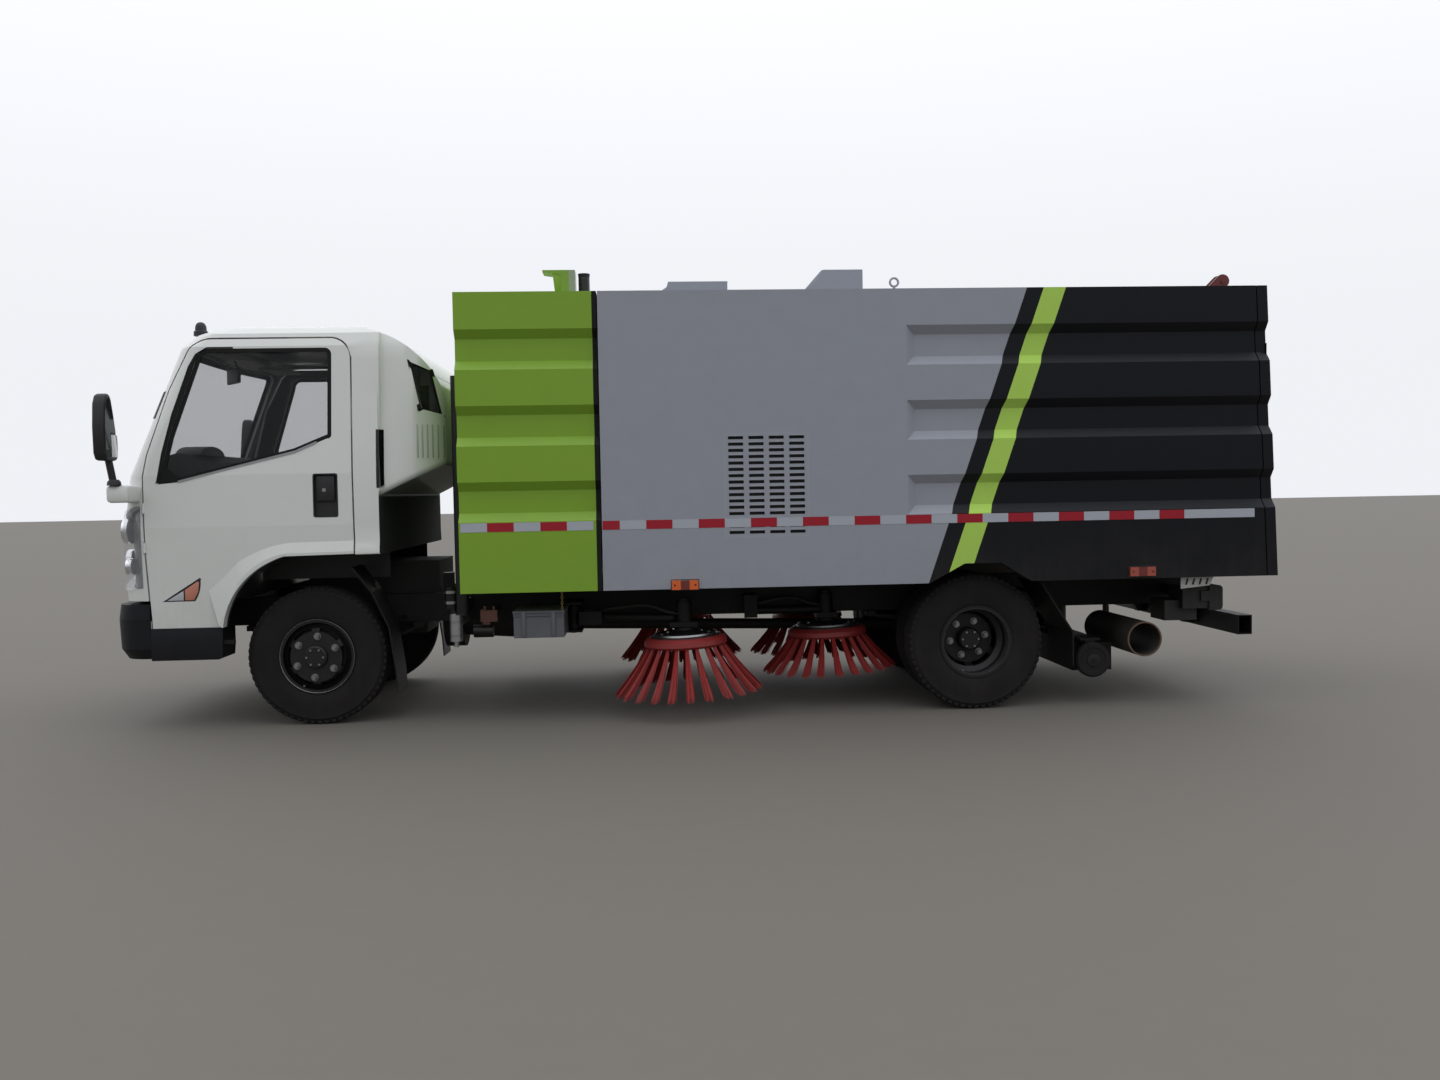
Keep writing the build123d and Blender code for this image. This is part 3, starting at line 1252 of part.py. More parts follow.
def cross_tube():
    x = STOWAGE_X
    z = STOWAGE_Z
    pipe = tube((x, -1000, z), (x, -300, z), STOWAGE_RADIUS, STOWAGE_RADIUS - 8)
    hanger = block(x - 13, x + 13, -RAIL_Y - 20, -RAIL_Y + 20, z + STOWAGE_RADIUS - 6, RAIL_LOW)
    return pipe + hanger


def marker_lamps():
    pieces = []
    for x, z in ((SEAM_X + 477, BODY_LOW + 23), (WHEELBASE + 935, BODY_LOW + 41)):
        for s in (-1, 1):
            y0, y1 = sorted((s * HALF_BODY, s * (HALF_BODY + 18)))
            pieces.append(block(x - 74, x + 74, y0, y1, z - 26, z + 26))
    return pieces


def left_and_right(name, shape):
    return {name + "_left": shape, name + "_right": other_side(shape)}


def frame_parts():
    parts = {}
    parts["chassis_frame"] = chassis_frame()
    parts["frame_brackets"] = (body_sills() + hinge_brackets() + both_sides(outer_hanger())
                               + both_sides(inner_hanger()) + link_hangers() + [cylinder_cradle()]
                               + cab_tilt_brackets())
    parts["axles"] = [front_axle(), rear_axle()]
    front_springs = leaf_springs(0, AXLE_Z - 20, FRONT_SPRING_LENGTH)
    rear_springs = leaf_springs(WHEELBASE, AXLE_Z + 62, REAR_SPRING_LENGTH)
    parts["leaf_springs"] = front_springs + rear_springs
    parts["engine"] = power_train()
    parts["gearbox_and_shaft"] = [gearbox(), propeller_shaft()]
    parts["steps_and_mudguards"] = (both_sides(steps()) + both_sides(front_mudguard())
                                    + both_sides(rear_mudguard()))
    parts["underrun_bar"] = joined([underrun_bar()] + underrun_brackets())
    parts["tail_lamps"] = [a + b for a, b in zip(tail_lamps(), lamp_brackets())]
    parts["fuel_tank"] = joined([fuel_tank()] + fuel_straps())
    parts["battery_box"] = joined([battery_box()] + battery_bracket())
    parts["filter_canister"] = [canister(), brake_valves()]
    parts["intake_snorkel"] = intake_snorkel()
    parts["front_compartment"] = front_compartment()
    parts["seam_seal"] = seam_seal()
    parts["auxiliary_engine"] = auxiliary_engine()
    parts["roof_fittings"] = [scoop(), vent_elbow()]
    parts["suction_pipes"] = [suction_collar(), cross_tube()]
    return parts


def wheel_parts():
    parts = left_and_right("knuckle", knuckle())
    parts.update(left_and_right("front_wheel", front_wheel()))
    parts.update(left_and_right("front_tyre", Pos(0, 0, AXLE_Z) * tyre(-FRONT_WHEEL_Y)))
    parts.update(left_and_right("rear_wheels", rear_wheels()))
    twin = [Pos(WHEELBASE, 0, AXLE_Z) * tyre(-y) for y in (TWIN_OUTER_Y, TWIN_INNER_Y)]
    parts["rear_tyres_left"] = twin
    parts["rear_tyres_right"] = [other_side(one) for one in twin]
    return parts


def cab_parts():
    cab = cab_pieces()
    parts = {"cab_shell": joined([cab["shell"]] + cab_tilt_arms())}
    parts["front_bumper"] = [front_bumper(), cab["grille"]]
    parts["cab_glass"] = [cab["screen"]] + both_sides(cab["quarter_glass"])
    parts.update(left_and_right("door", cab["door"]))
    parts.update(left_and_right("door_glass", cab["door_glass"]))
    parts["headlamps"] = cab["lamps"]
    dash = dashboard(cab["hollow"])
    parts["dashboard"] = dash + (steering_wheel() - dash)
    parts["seats"] = seats()
    parts["mirrors"] = both_sides(mirror_piece(cab["outer"]))
    return parts


def body_parts():
    parts = {"hopper": hopper()}
    parts["louvre_panels"] = louvre_panels()
    parts["hopper_roof_fittings"] = hoods() + lifting_eyes() + tailgate_lugs()
    parts["marker_lamps"] = marker_lamps()
    parts["tailgate"] = tailgate()
    parts["tip_barrel"] = tip_barrel()
    parts["tip_rod"] = tip_rod()
    return parts


def sweeping_parts():
    parts = left_and_right("outer_brush", brush(OUTER_BRUSH_X, -OUTER_BRUSH_Y))
    parts.update(left_and_right("inner_brush", brush(INNER_BRUSH_X, -INNER_BRUSH_Y)))
    parts.update(left_and_right("outer_brush_arm", outer_arm()))
    parts.update(left_and_right("outer_brush_swing", outer_swing()))
    parts.update(left_and_right("inner_brush_arm", inner_arm()))
    parts["suction_nozzle"] = nozzle()
    parts["nozzle_links"] = nozzle_links()
    parts.update(left_and_right("nozzle_wheel", nozzle_wheel()))
    return parts


def write(parts):
    os.makedirs("parts", exist_ok=True)
    for name, shape in parts.items():
        solids = shape if isinstance(shape, list) else [shape]
        moved = [Pos(-ORIGIN_X, 0, 0) * solid for solid in solids]
        whole = moved[0] if len(moved) == 1 else Compound(children=moved)
        export_step(whole, "parts/" + name + ".step")


if __name__ == "__main__":
    for group in (frame_parts, wheel_parts, cab_parts, body_parts, sweeping_parts):
        write(group())
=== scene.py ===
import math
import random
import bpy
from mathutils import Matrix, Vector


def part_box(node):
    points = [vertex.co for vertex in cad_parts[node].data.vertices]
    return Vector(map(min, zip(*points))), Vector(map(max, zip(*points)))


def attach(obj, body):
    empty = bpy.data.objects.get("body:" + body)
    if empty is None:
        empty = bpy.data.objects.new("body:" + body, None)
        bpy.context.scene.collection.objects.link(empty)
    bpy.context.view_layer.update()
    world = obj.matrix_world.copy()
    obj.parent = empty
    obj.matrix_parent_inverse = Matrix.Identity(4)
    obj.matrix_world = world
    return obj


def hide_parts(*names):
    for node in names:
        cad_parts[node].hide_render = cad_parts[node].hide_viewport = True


bl_info = {
    "name": "Street sweeper truck",
    "version": (1, 0, 0),
    "blender": (4, 5, 0),
    "location": "3D View > Sidebar > Sweeper",
    "description": "Dresses the packed street sweeper: paint, tyres, bristles, lamps, glass and trim",
    "category": "Object",
}

from functools import partial

import bpy
from bpy.props import FloatProperty, FloatVectorProperty, IntProperty, PointerProperty
from bpy.types import Operator, Panel, PropertyGroup
from mathutils import Matrix, Vector

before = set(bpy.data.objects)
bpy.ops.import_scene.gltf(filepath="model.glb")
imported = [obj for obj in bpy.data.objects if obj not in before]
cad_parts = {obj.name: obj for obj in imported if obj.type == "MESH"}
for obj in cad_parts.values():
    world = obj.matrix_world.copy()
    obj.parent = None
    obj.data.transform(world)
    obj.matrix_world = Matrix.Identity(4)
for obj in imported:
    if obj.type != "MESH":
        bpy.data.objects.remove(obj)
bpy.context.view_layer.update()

# Lengths are in metres. X runs to the rear, Z up, and the driver's side is -Y.
FRONT_AXLE_X = (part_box("front_tyre_left")[0].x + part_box("front_tyre_left")[1].x) / 2
REAR_AXLE_X = (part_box("rear_tyres_left")[0].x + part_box("rear_tyres_left")[1].x) / 2
TYRE_RADIUS = (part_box("front_tyre_left")[1].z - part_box("front_tyre_left")[0].z) / 2
BODY_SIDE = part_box("hopper")[1].y
BODY_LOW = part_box("front_compartment")[0].z
BODY_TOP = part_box("front_compartment")[1].z
BODY_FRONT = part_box("front_compartment")[0].x
SIDES = (("left", -1), ("right", 1))

# The cab's level sections: height, front, fall to the corners, half width and corner radius,
# lengths along X counted from the front axle
CAB_LEVELS = (
    (0.582, -1.092, 0.040, 0.962, 0.165),
    (1.150, -1.100, 0.045, 0.980, 0.170),
    (1.440, -1.062, 0.050, 0.975, 0.170),
    (2.160, -0.778, 0.052, 0.903, 0.150),
    (2.235, -0.706, 0.060, 0.872, 0.150),
    (2.272, -0.640, 0.070, 0.820, 0.150),
    (2.290, -0.560, 0.080, 0.740, 0.150),
)
# The side of the space behind the doors seen from above, as an arc's start, middle and end
EXTENSION_ARC = ((0.470, 0.930), (0.660, 0.830), (0.745, 0.600))
# Outlines seen from the side; a pair of points is the middle and the end of an arc
WINDOW_LINE = ((-0.808, 1.392), (-0.745, 1.660), (-0.604, 2.080), ((-0.590, 2.120), (-0.550, 2.148)),
               (0.100, 2.148), ((0.130, 2.138), (0.143, 2.110)), (0.141, 1.655),
               ((0.135, 1.640), (0.118, 1.634)), (-0.060, 1.560), (-0.700, 1.402))
POCKET_LINE = ((0.047, 1.192), (0.161, 1.192), (0.173, 1.204), (0.173, 1.426), (0.161, 1.438), (0.047, 1.438),
               (0.035, 1.426), (0.035, 1.204))
TURN_LAMP_LINE = ((-0.812, 0.735), (-0.610, 0.862), ((-0.598, 0.864), (-0.598, 0.852)),
                  ((-0.606, 0.790), (-0.632, 0.736)))
# Outline of a mirror's head seen from the front
MIRROR_LINE = ((1.236, 1.560), (1.240, 1.700), (1.228, 1.826), (1.204, 1.874), (1.165, 1.886), (1.136, 1.866),
               (1.110, 1.780), (1.080, 1.640), (1.070, 1.600), (1.070, 1.545), (1.086, 1.522), (1.215, 1.522))
# The space behind the doors: where its side and its rear part start, from where it narrows in height,
# how far in its rear part goes, and where its mesh is cut
NARROW_START = 0.2895
REAR_PART_START = 0.4045
NARROW_LOW = 1.44
PANEL_LOW = 1.88
REAR_PART_INSET = 0.045
CUT_LEVELS = (NARROW_LOW, PANEL_LOW, 2.0, 2.08, 2.16, 2.2, 2.235, 2.255)
CUT_PLACES = (0.4040, 0.4050, 0.470)


# Values a user may change

def colour(name, text, value):
    return FloatVectorProperty(name=name, description=text, subtype="COLOR", default=value, min=0, max=1)


def length(name, text, value):
    return FloatProperty(name=name, description=text, subtype="DISTANCE", unit="LENGTH", default=value)


class SweeperPaint(PropertyGroup):
    cab_white: colour("Cab white", "Gloss paint of the cab", (0.77, 0.79, 0.76))
    body_green: colour("Body green", "Paint of the front compartment", (0.242, 0.435, 0.032))
    stripe_lime: colour("Stripe lime", "Diagonal stripe on the hopper", (0.50, 0.78, 0.13))
    body_grey: colour("Body grey", "Paint of the hopper", (0.35, 0.37, 0.42))
    body_black: colour("Body black", "Paint behind the stripe", (0.0035, 0.0045, 0.008))
    chassis_black: colour("Chassis black", "Paint of the frame", (0.006, 0.006, 0.007))
    bristle_red: colour("Bristle red", "Plastic bristles", (0.40, 0.036, 0.034))
    tape_red: colour("Tape red", "Red length of the reflective tape", (0.40, 0.014, 0.030))
    tape_white: colour("Tape white", "White length of the reflective tape", (0.46, 0.49, 0.55))
    dust: colour("Road dust", "Dried dirt low on the truck", (0.13, 0.115, 0.095))


class SweeperSizes(PropertyGroup):
    tread_depth: length("Tread depth", "Depth of the grooves in the tyres", 0.011)
    tread_blocks: IntProperty(name="Tread blocks", description="Shoulder blocks round one tyre", default=60)
    nut_circle: length("Nut circle", "Radius of the circle of the front wheel nuts", 0.118)
    nut_count: IntProperty(name="Wheel nuts", description="Nuts on one wheel", default=6)
    tuft_count: IntProperty(name="Tufts", description="Tufts round one brush", default=24)
    strand_count: IntProperty(name="Strands", description="Bristles in one tuft", default=66)
    tape_height: length("Tape height", "Height of the reflective tape", 0.05)
    tape_length: length("Tape length", "One red or white length of the tape", 0.1471)
    tape_level: length("Tape level", "Height of the middle of the tape", 1.119)


def paint():
    return bpy.context.scene.sweeper_paint


def sizes():
    return bpy.context.scene.sweeper_sizes


# Modelling by hand

def clear_selection():
    if bpy.context.object and bpy.context.object.mode != "OBJECT":
        bpy.ops.object.mode_set(mode="OBJECT")
    bpy.ops.object.select_all(action="DESELECT")


def pick(*pieces):
    clear_selection()
    for piece in pieces:
        piece.select_set(True)
    bpy.context.view_layer.objects.active = pieces[0]


def edit(*steps):
    """Runs modelling steps on the active piece with all of it selected."""
    bpy.ops.object.mode_set(mode="EDIT")
    bpy.ops.mesh.select_all(action="SELECT")
    for step in steps:
        step()
    bpy.ops.object.mode_set(mode="OBJECT")


def outwards():
    bpy.ops.mesh.select_all(action="SELECT")
    bpy.ops.mesh.remove_doubles(threshold=1e-6)
    bpy.ops.mesh.normals_make_consistent(inside=False)


def settled(name):
    """Names the new piece and puts its place into its mesh."""
    piece = bpy.context.object
    piece.name = name
    piece.data.name = name
    bpy.ops.object.transform_apply(location=True, rotation=True, scale=True)
    return piece


def rounded(piece, width, segments=2, angle=0.5):
    """Rounds the sharp edges of a piece."""
    pick(piece)
    bevel = piece.modifiers.new("rounded", "BEVEL")
    bevel.width = width
    bevel.segments = segments
    bevel.limit_method = "ANGLE"
    bevel.angle_limit = angle
    bpy.ops.object.modifier_apply(modifier=bevel.name)
    return piece


def block(name, x, y, z, bevel=0.0):
    """A block between the low and high ends of x, y and z."""
    clear_selection()
    middle = [(low + high) / 2 for low, high in (x, y, z)]
    bpy.ops.mesh.primitive_cube_add(size=1, location=middle)
    bpy.ops.transform.resize(value=[abs(high - low) for low, high in (x, y, z)])
    piece = settled(name)
    return rounded(piece, bevel) if bevel else piece


def rod(name, start, end, radius, sides=24):
    """A round bar from start to end."""
    clear_selection()
    start, end = Vector(start), Vector(end)
    along = end - start
    turn = along.to_track_quat("Z", "Y").to_euler()
    bpy.ops.mesh.primitive_cone_add(vertices=sides, radius1=radius, radius2=radius, depth=along.length,
                                    location=(start + end) / 2, rotation=turn)
    return settled(name)


def drawn_line(name, points):
    """Edges through the points, drawn from one vertex by extruding it."""
    clear_selection()
    points = [Vector(p) for p in points]
    bpy.ops.mesh.primitive_plane_add(size=0.001, location=points[0])
    piece = settled(name)

    def draw():
        bpy.ops.mesh.merge(type="CENTER")
        for here, there in zip(points, points[1:]):
            bpy.ops.mesh.extrude_region_move(TRANSFORM_OT_translate={"value": there - here})
    edit(draw)
    return piece


def turned(name, profile, centre, axis, steps=48):
    """A turned shape: each point is its distance from the line and its place along it."""
    centre, axis = Vector(centre), Vector(axis)
    out = Vector((1, 0, 0)) if abs(axis.x) < 0.5 else Vector((0, 0, 1))
    piece = drawn_line(name, [centre + out * r + axis * h for r, h in profile])
    edit(lambda: bpy.ops.mesh.spin(steps=steps, angle=math.tau, center=centre, axis=axis), outwards)
    return piece


def plate(name, outline, thickness, bevel=0.0):
    """A flat plate: its outline's points, pushed out by the vector thickness."""
    piece = drawn_line(name, outline)

    def push():
        bpy.ops.mesh.edge_face_add()
        bpy.ops.mesh.extrude_region_move(TRANSFORM_OT_translate={"value": Vector(thickness)})
    edit(push, outwards)
    return rounded(piece, bevel) if bevel else piece


def pipe(name, points, radius, sides=3):
    """A round pipe along the points."""
    clear_selection()
    bpy.ops.curve.primitive_nurbs_path_add()
    piece = bpy.context.object
    spline = piece.data.splines[0]
    points = list(points)
    while len(points) < len(spline.points):
        middle = (Vector(points[-2]) + Vector(points[-1])) / 2
        points.insert(len(points) - 1, middle)
    spline.points.add(len(points) - len(spline.points))
    for point, place in zip(spline.points, points):
        point.co = (*place, 1)
    spline.order_u = 3
    spline.use_endpoint_u = True
    piece.data.resolution_u = 6
    piece.data.bevel_depth = radius
    piece.data.bevel_resolution = sides
    piece.data.use_fill_caps = True
    bpy.ops.object.convert(target="MESH")
    piece = settled(name)
    edit(outwards)
    return piece


def copy_of(piece, turn):
    """Another piece with its own mesh, moved by the matrix turn."""
    other = piece.copy()
    other.data = piece.data.copy()
    other.data.transform(turn)
    bpy.context.scene.collection.objects.link(other)
    return other


def joined(name, pieces):
    pick(*pieces)
    bpy.ops.object.join()
    whole = bpy.context.object
    whole.name = name
    whole.data.name = name
    return whole


def turn_about(centre, axis, angle):
    centre = Vector(centre)
    return Matrix.Translation(centre) @ Matrix.Rotation(angle, 4, Vector(axis)) @ Matrix.Translation(-centre)


def ring_of(piece, count, centre, axis):
    """The piece and its copies at equal angles about a line."""
    turns = [turn_about(centre, axis, math.tau * i / count) for i in range(1, count)]
    return joined(piece.name, [piece] + [copy_of(piece, turn) for turn in turns])


def other_side(piece, name):
    """The same piece on the truck's other side."""
    other = copy_of(piece, Matrix.Scale(-1, 4, (0, 1, 0)))
    other.name = name
    other.data.name = name
    pick(other)
    edit(lambda: bpy.ops.mesh.flip_normals())
    return other


def fitted(piece, body, finish, replaces=(), smooth=35):
    """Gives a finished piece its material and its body."""
    pick(piece)
    piece.data.materials.clear()
    piece.data.materials.append(finish)
    if smooth:
        bpy.ops.object.shade_smooth_by_angle(angle=math.radians(smooth))
    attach(piece, body)
    if replaces:
        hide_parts(*replaces)
    return piece


def arc_points(start, middle, end, steps=6):
    """Points along the circle from start by middle to end, without the start."""
    (ax, az), (bx, bz), (cx, cz) = start, middle, end
    d = 2 * (ax * (bz - cz) + bx * (cz - az) + cx * (az - bz))
    a2, b2, c2 = ax * ax + az * az, bx * bx + bz * bz, cx * cx + cz * cz
    ox = (a2 * (bz - cz) + b2 * (cz - az) + c2 * (az - bz)) / d
    oz = (a2 * (cx - bx) + b2 * (ax - cx) + c2 * (bx - ax)) / d
    radius = math.hypot(ax - ox, az - oz)
    angles = [math.atan2(z - oz, x - ox) for x, z in (start, middle, end)]
    turn = (angles[2] - angles[0]) % math.tau
    if (angles[1] - angles[0]) % math.tau > turn:
        turn -= math.tau
    turns = [angles[0] + turn * i / steps for i in range(1, steps + 1)]
    return [(ox + radius * math.cos(angle), oz + radius * math.sin(angle)) for angle in turns]


def traced(line):
    """Corners and arcs of an outline as plain points."""
    points = [line[0]]
    for step in line[1:]:
        if isinstance(step[0], tuple):
            points += arc_points(points[-1], step[0], step[1])
        else:
            points.append(step)
    return points


def side_face(line, y):
    """Points of an outline seen from the side, all at the same y."""
    return [(FRONT_AXLE_X + x, y, z) for x, z in traced(line)]


def hoop(name, outline, width, thickness, bevel=0.0):
    """A flat frame that follows the inside of an outline."""
    piece = drawn_line(name, outline)

    def frame_of():
        bpy.ops.mesh.edge_face_add()
        bpy.ops.mesh.inset(thickness=width, use_even_offset=True)
        bpy.ops.mesh.delete(type="ONLY_FACE")
        bpy.ops.mesh.select_all(action="SELECT")
        bpy.ops.mesh.extrude_region_move(TRANSFORM_OT_translate={"value": Vector(thickness)})
    edit(frame_of, outwards)
    return rounded(piece, bevel) if bevel else piece


def cab_at(z):
    """Front, fall, half width and corner radius of the cab at a height."""
    low = CAB_LEVELS[0]
    for high in CAB_LEVELS[1:]:
        if z <= high[0] or high is CAB_LEVELS[-1]:
            share = min(1.0, max(0.0, (z - low[0]) / (high[0] - low[0])))
            return [a + (b - a) * share for a, b in zip(low[1:], high[1:])]
        low = high


def wrapped(piece, place):
    """Lays a flat piece on a curved surface; place gives each point's new place."""
    for vertex in piece.data.vertices:
        vertex.co = place(vertex.co)
    pick(piece)
    edit(outwards)
    return piece


def cab_side(point):
    return Vector((point.x, -(cab_at(point.z)[2] + point.y), point.z))


def cab_front(point):
    """The point's X is how far it stands out of the cab's front."""
    front, fall, half, radius = cab_at(point.z)
    flat = half - radius
    beyond = abs(point.y) - flat
    if beyond <= 0:
        x = front + fall * (point.y / flat) ** 2
    else:
        x = front + fall + radius - math.sqrt(max(0.0, radius ** 2 - min(beyond, radius) ** 2))
    return Vector((FRONT_AXLE_X + x - point.x, point.y, point.z))


def extension_half(x):
    """Half width of the space behind the doors, before it is narrowed."""
    half = EXTENSION_ARC[0][1]
    line = [EXTENSION_ARC[0]] + arc_points(*EXTENSION_ARC, steps=16)
    for (x0, y0), (x1, y1) in zip(line, line[1:]):
        if x0 <= x <= x1:
            half = y0 + (y1 - y0) * (x - x0) / (x1 - x0)
    return half


def extension_side(point):
    """The point's Y is how far it stands out of the side of the space behind the doors."""
    half = extension_half(point.x - FRONT_AXLE_X)
    return narrowed(Vector((point.x, -half, point.z))) - Vector((0, point.y, 0))


def narrowed(point):
    """The space behind the doors follows the cab's taper, a little inside the cab's side."""
    x, y, z = point.x - FRONT_AXLE_X, abs(point.y), point.z
    half = cab_at(z)[2]
    if x < NARROW_START or z < NARROW_LOW or y < 0.5:
        return point
    outer = extension_half(x)
    if x < REAR_PART_START:
        if z < PANEL_LOW or y <= half + 0.003 or y > outer + 0.001:
            return point
        return Vector((point.x, math.copysign(y - (outer - half - 0.0015), point.y), point.z))
    return Vector((point.x, point.y * min(1.0, (half - REAR_PART_INSET) / outer), point.z))


def recut(node_name, name):
    """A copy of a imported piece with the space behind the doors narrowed."""
    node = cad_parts[node_name]
    piece = bpy.data.objects.new(name, node.data.copy())
    piece.data.transform(node.matrix_world)
    bpy.context.scene.collection.objects.link(piece)
    pick(piece)
    bpy.ops.mesh.customdata_custom_splitnormals_clear()
    edit(lambda: bpy.ops.mesh.remove_doubles(threshold=1e-5))
    cuts = [((0, 0, z), (0, 0, 1)) for z in CUT_LEVELS]
    cuts += [((FRONT_AXLE_X + x, 0, 0), (1, 0, 0)) for x in CUT_PLACES]
    for place, across in cuts:
        for polygon in piece.data.polygons:
            middle = polygon.center
            polygon.select = middle.x > FRONT_AXLE_X + 0.285 and abs(middle.y) > 0.45 and middle.z > 1.25
        bpy.ops.object.mode_set(mode="EDIT")
        bpy.ops.mesh.select_mode(type="FACE")
        bpy.ops.mesh.bisect(plane_co=place, plane_no=across)
        bpy.ops.mesh.select_mode(type="VERT")
        bpy.ops.object.mode_set(mode="OBJECT")
    for vertex in piece.data.vertices:
        vertex.co = narrowed(vertex.co)
    return piece


def fit_pairs(rows):
    """Fits left-hand pieces and their right-hand twins.

    Each row is a piece, its body, its slot and its finish; the slot is not used. SIDE in the body stands for
    the side's name.
    """
    for piece, body, slot, maker in rows:
        name = piece.name
        right = other_side(piece, name + "_right")
        piece.name = name + "_left"
        for side, one in (("left", piece), ("right", right)):
            fitted(one, body.replace("SIDE", side), maker())


# Effects that several finishes share

SOCKET_KINDS = {1: "NodeSocketFloat", 3: "NodeSocketVector", 4: "NodeSocketColor"}
STRIPE_LEAN = 0.3486
STRIPE_START = FRONT_AXLE_X + 4.075
BLACK_WIDTH = 0.097
LIME_WIDTH = 0.128
HOPPER_INSIDE = (0.09, 0.085, 0.08, 1)
STRIPE_MOTTLE = (0.02, 0.02, 0.02)
# The cab's skin: corner radius, half width over which its front falls back, and the fall
SKIN_RADIUS = 0.16
SKIN_FRONT_HALF = 0.79
SKIN_FALL = 0.05
SKIN_TOP = 2.252
SKIN_REAR = FRONT_AXLE_X + 0.362
DUSTY_ROUGHNESS = 0.9
RELIEF_STRENGTH = 0.6


def new_group(name, inputs, outputs=("Mask",)):
    """An empty node group: its inputs with their values, and the names of its outputs."""
    tree = bpy.data.node_groups.new(name, "ShaderNodeTree")
    for label, value in inputs.items():
        kind = SOCKET_KINDS[len(value) if isinstance(value, tuple) else 1]
        socket = tree.interface.new_socket(label, in_out="INPUT", socket_type=kind)
        socket.default_value = value
    for label in outputs:
        kind = SOCKET_KINDS[4 if label == "Color" else 1]
        tree.interface.new_socket(label, in_out="OUTPUT", socket_type=kind)
    return tree, tree.nodes.new("NodeGroupInput"), tree.nodes.new("NodeGroupOutput")


def put(tree, value, socket):
    """Gives a socket a plain value, or links another socket to it."""
    if isinstance(value, bpy.types.NodeSocket):
        tree.links.new(value, socket)
    else:
        socket.default_value = value


def math_node(tree, operation, a, b=None, clamp=False):
    node = tree.nodes.new("ShaderNodeMath")
    node.operation = operation
    node.use_clamp = clamp
    put(tree, a, node.inputs[0])
    if b is not None:
        put(tree, b, node.inputs[1])
    return node.outputs[0]


def arithmetic(tree, *operations):
    """One function for each operation, each making a math node in the tree."""
    return [partial(math_node, tree, operation) for operation in operations]


def object_place(tree):
    return tree.nodes.new("ShaderNodeTexCoord").outputs["Object"]


def parted(tree, vector):
    """The X, Y and Z of a vector."""
    split = tree.nodes.new("ShaderNodeSeparateXYZ")
    tree.links.new(vector, split.inputs[0])
    return [split.outputs[axis] for axis in "XYZ"]


def noise_node(tree, vector, scale, detail=3.0, roughness=0.55):
    node = tree.nodes.new("ShaderNodeTexNoise")
    for label, value in (("Vector", vector), ("Scale", scale), ("Detail", detail), ("Roughness", roughness)):
        put(tree, value, node.inputs[label])
    return node.outputs["Fac"]


def stretched(tree, vector, scale):
    node = tree.nodes.new("ShaderNodeMapping")
    put(tree, scale, node.inputs["Scale"])
    put(tree, vector, node.inputs["Vector"])
    return node.outputs["Vector"]


def ramp_between(tree, value, low, high):
    node = tree.nodes.new("ShaderNodeMapRange")
    node.interpolation_type = "SMOOTHSTEP"
    for label, source in (("Value", value), ("From Min", low), ("From Max", high)):
        put(tree, source, node.inputs[label])
    return node.outputs["Result"]


def mix_colour(tree, factor, low, high):
    """Colour between low and high; each is a socket or a plain colour."""
    node = tree.nodes.new("ShaderNodeMix")
    node.data_type = "RGBA"
    put(tree, factor, node.inputs["Factor"])
    for label, source in (("A", low), ("B", high)):
        is_socket = isinstance(source, bpy.types.NodeSocket)
        put(tree, source if is_socket else (*source[:3], 1), node.inputs[label])
    return node.outputs["Result"]


def road_dust_group():
    """Dried dirt: thick low down, thin above, broken up by noise and runs."""
    tree, start, end = new_group("road_dust", {"Low": 0.2, "High": 1.0, "Amount": 0.5})
    add, multiply = arithmetic(tree, "ADD", "MULTIPLY")
    place = object_place(tree)
    height = ramp_between(tree, parted(tree, place)[2], start.outputs["High"], start.outputs["Low"])
    cloud = ramp_between(tree, noise_node(tree, place, 5.0, 6.0, 0.65), 0.32, 0.68)
    streaks = stretched(tree, place, (26.0, 26.0, 1.6))
    runs = ramp_between(tree, noise_node(tree, streaks, 1.0, 4.0), 0.42, 0.75)
    speck = ramp_between(tree, noise_node(tree, place, 180.0, 2.0), 0.5, 0.72)
    both = multiply(height, add(multiply(cloud, 0.75), 0.25))
    extra = multiply(multiply(runs, 0.35), add(height, 0.12))
    fine = multiply(multiply(speck, 0.30), add(height, 0.05))
    total = add(add(both, extra), fine)
    tree.links.new(multiply(total, start.outputs["Amount"], True), end.inputs["Mask"])
    return tree


def surface_group():
    """Fine grain with a slow wave under it, as on sprayed sheet and moulded plastic."""
    inputs = {"Grain Scale": 400.0, "Grain": 0.2, "Wave Scale": 3.0, "Wave": 1.0}
    tree, start, end = new_group("surface_grain", inputs, ("Height", "Mottle"))
    add, multiply = arithmetic(tree, "ADD", "MULTIPLY")
    place = object_place(tree)
    parts = [multiply(noise_node(tree, place, start.outputs[kind + " Scale"], 2.0), start.outputs[kind])
             for kind in ("Grain", "Wave")]
    tree.links.new(add(*parts), end.inputs["Height"])
    tree.links.new(noise_node(tree, place, 9.0, 5.0, 0.6), end.inputs["Mottle"])
    return tree


def region_group():
    """Where a point lies between two corners; Y counts from the middle to either side."""
    tree, start, end = new_group("region", {"Low": (0, 0, 0), "High": (1, 1, 1)})
    absolute, multiply, above, below = arithmetic(tree, "ABSOLUTE", "MULTIPLY", "GREATER_THAN", "LESS_THAN")
    x, y, z = parted(tree, object_place(tree))
    low, high = [parted(tree, start.outputs[label]) for label in ("Low", "High")]
    mask = 1.0
    for value, least, most in zip((x, absolute(y), z), low, high):
        mask = multiply(multiply(mask, above(value, least)), below(value, most))
    tree.links.new(mask, end.inputs["Mask"])
    return tree


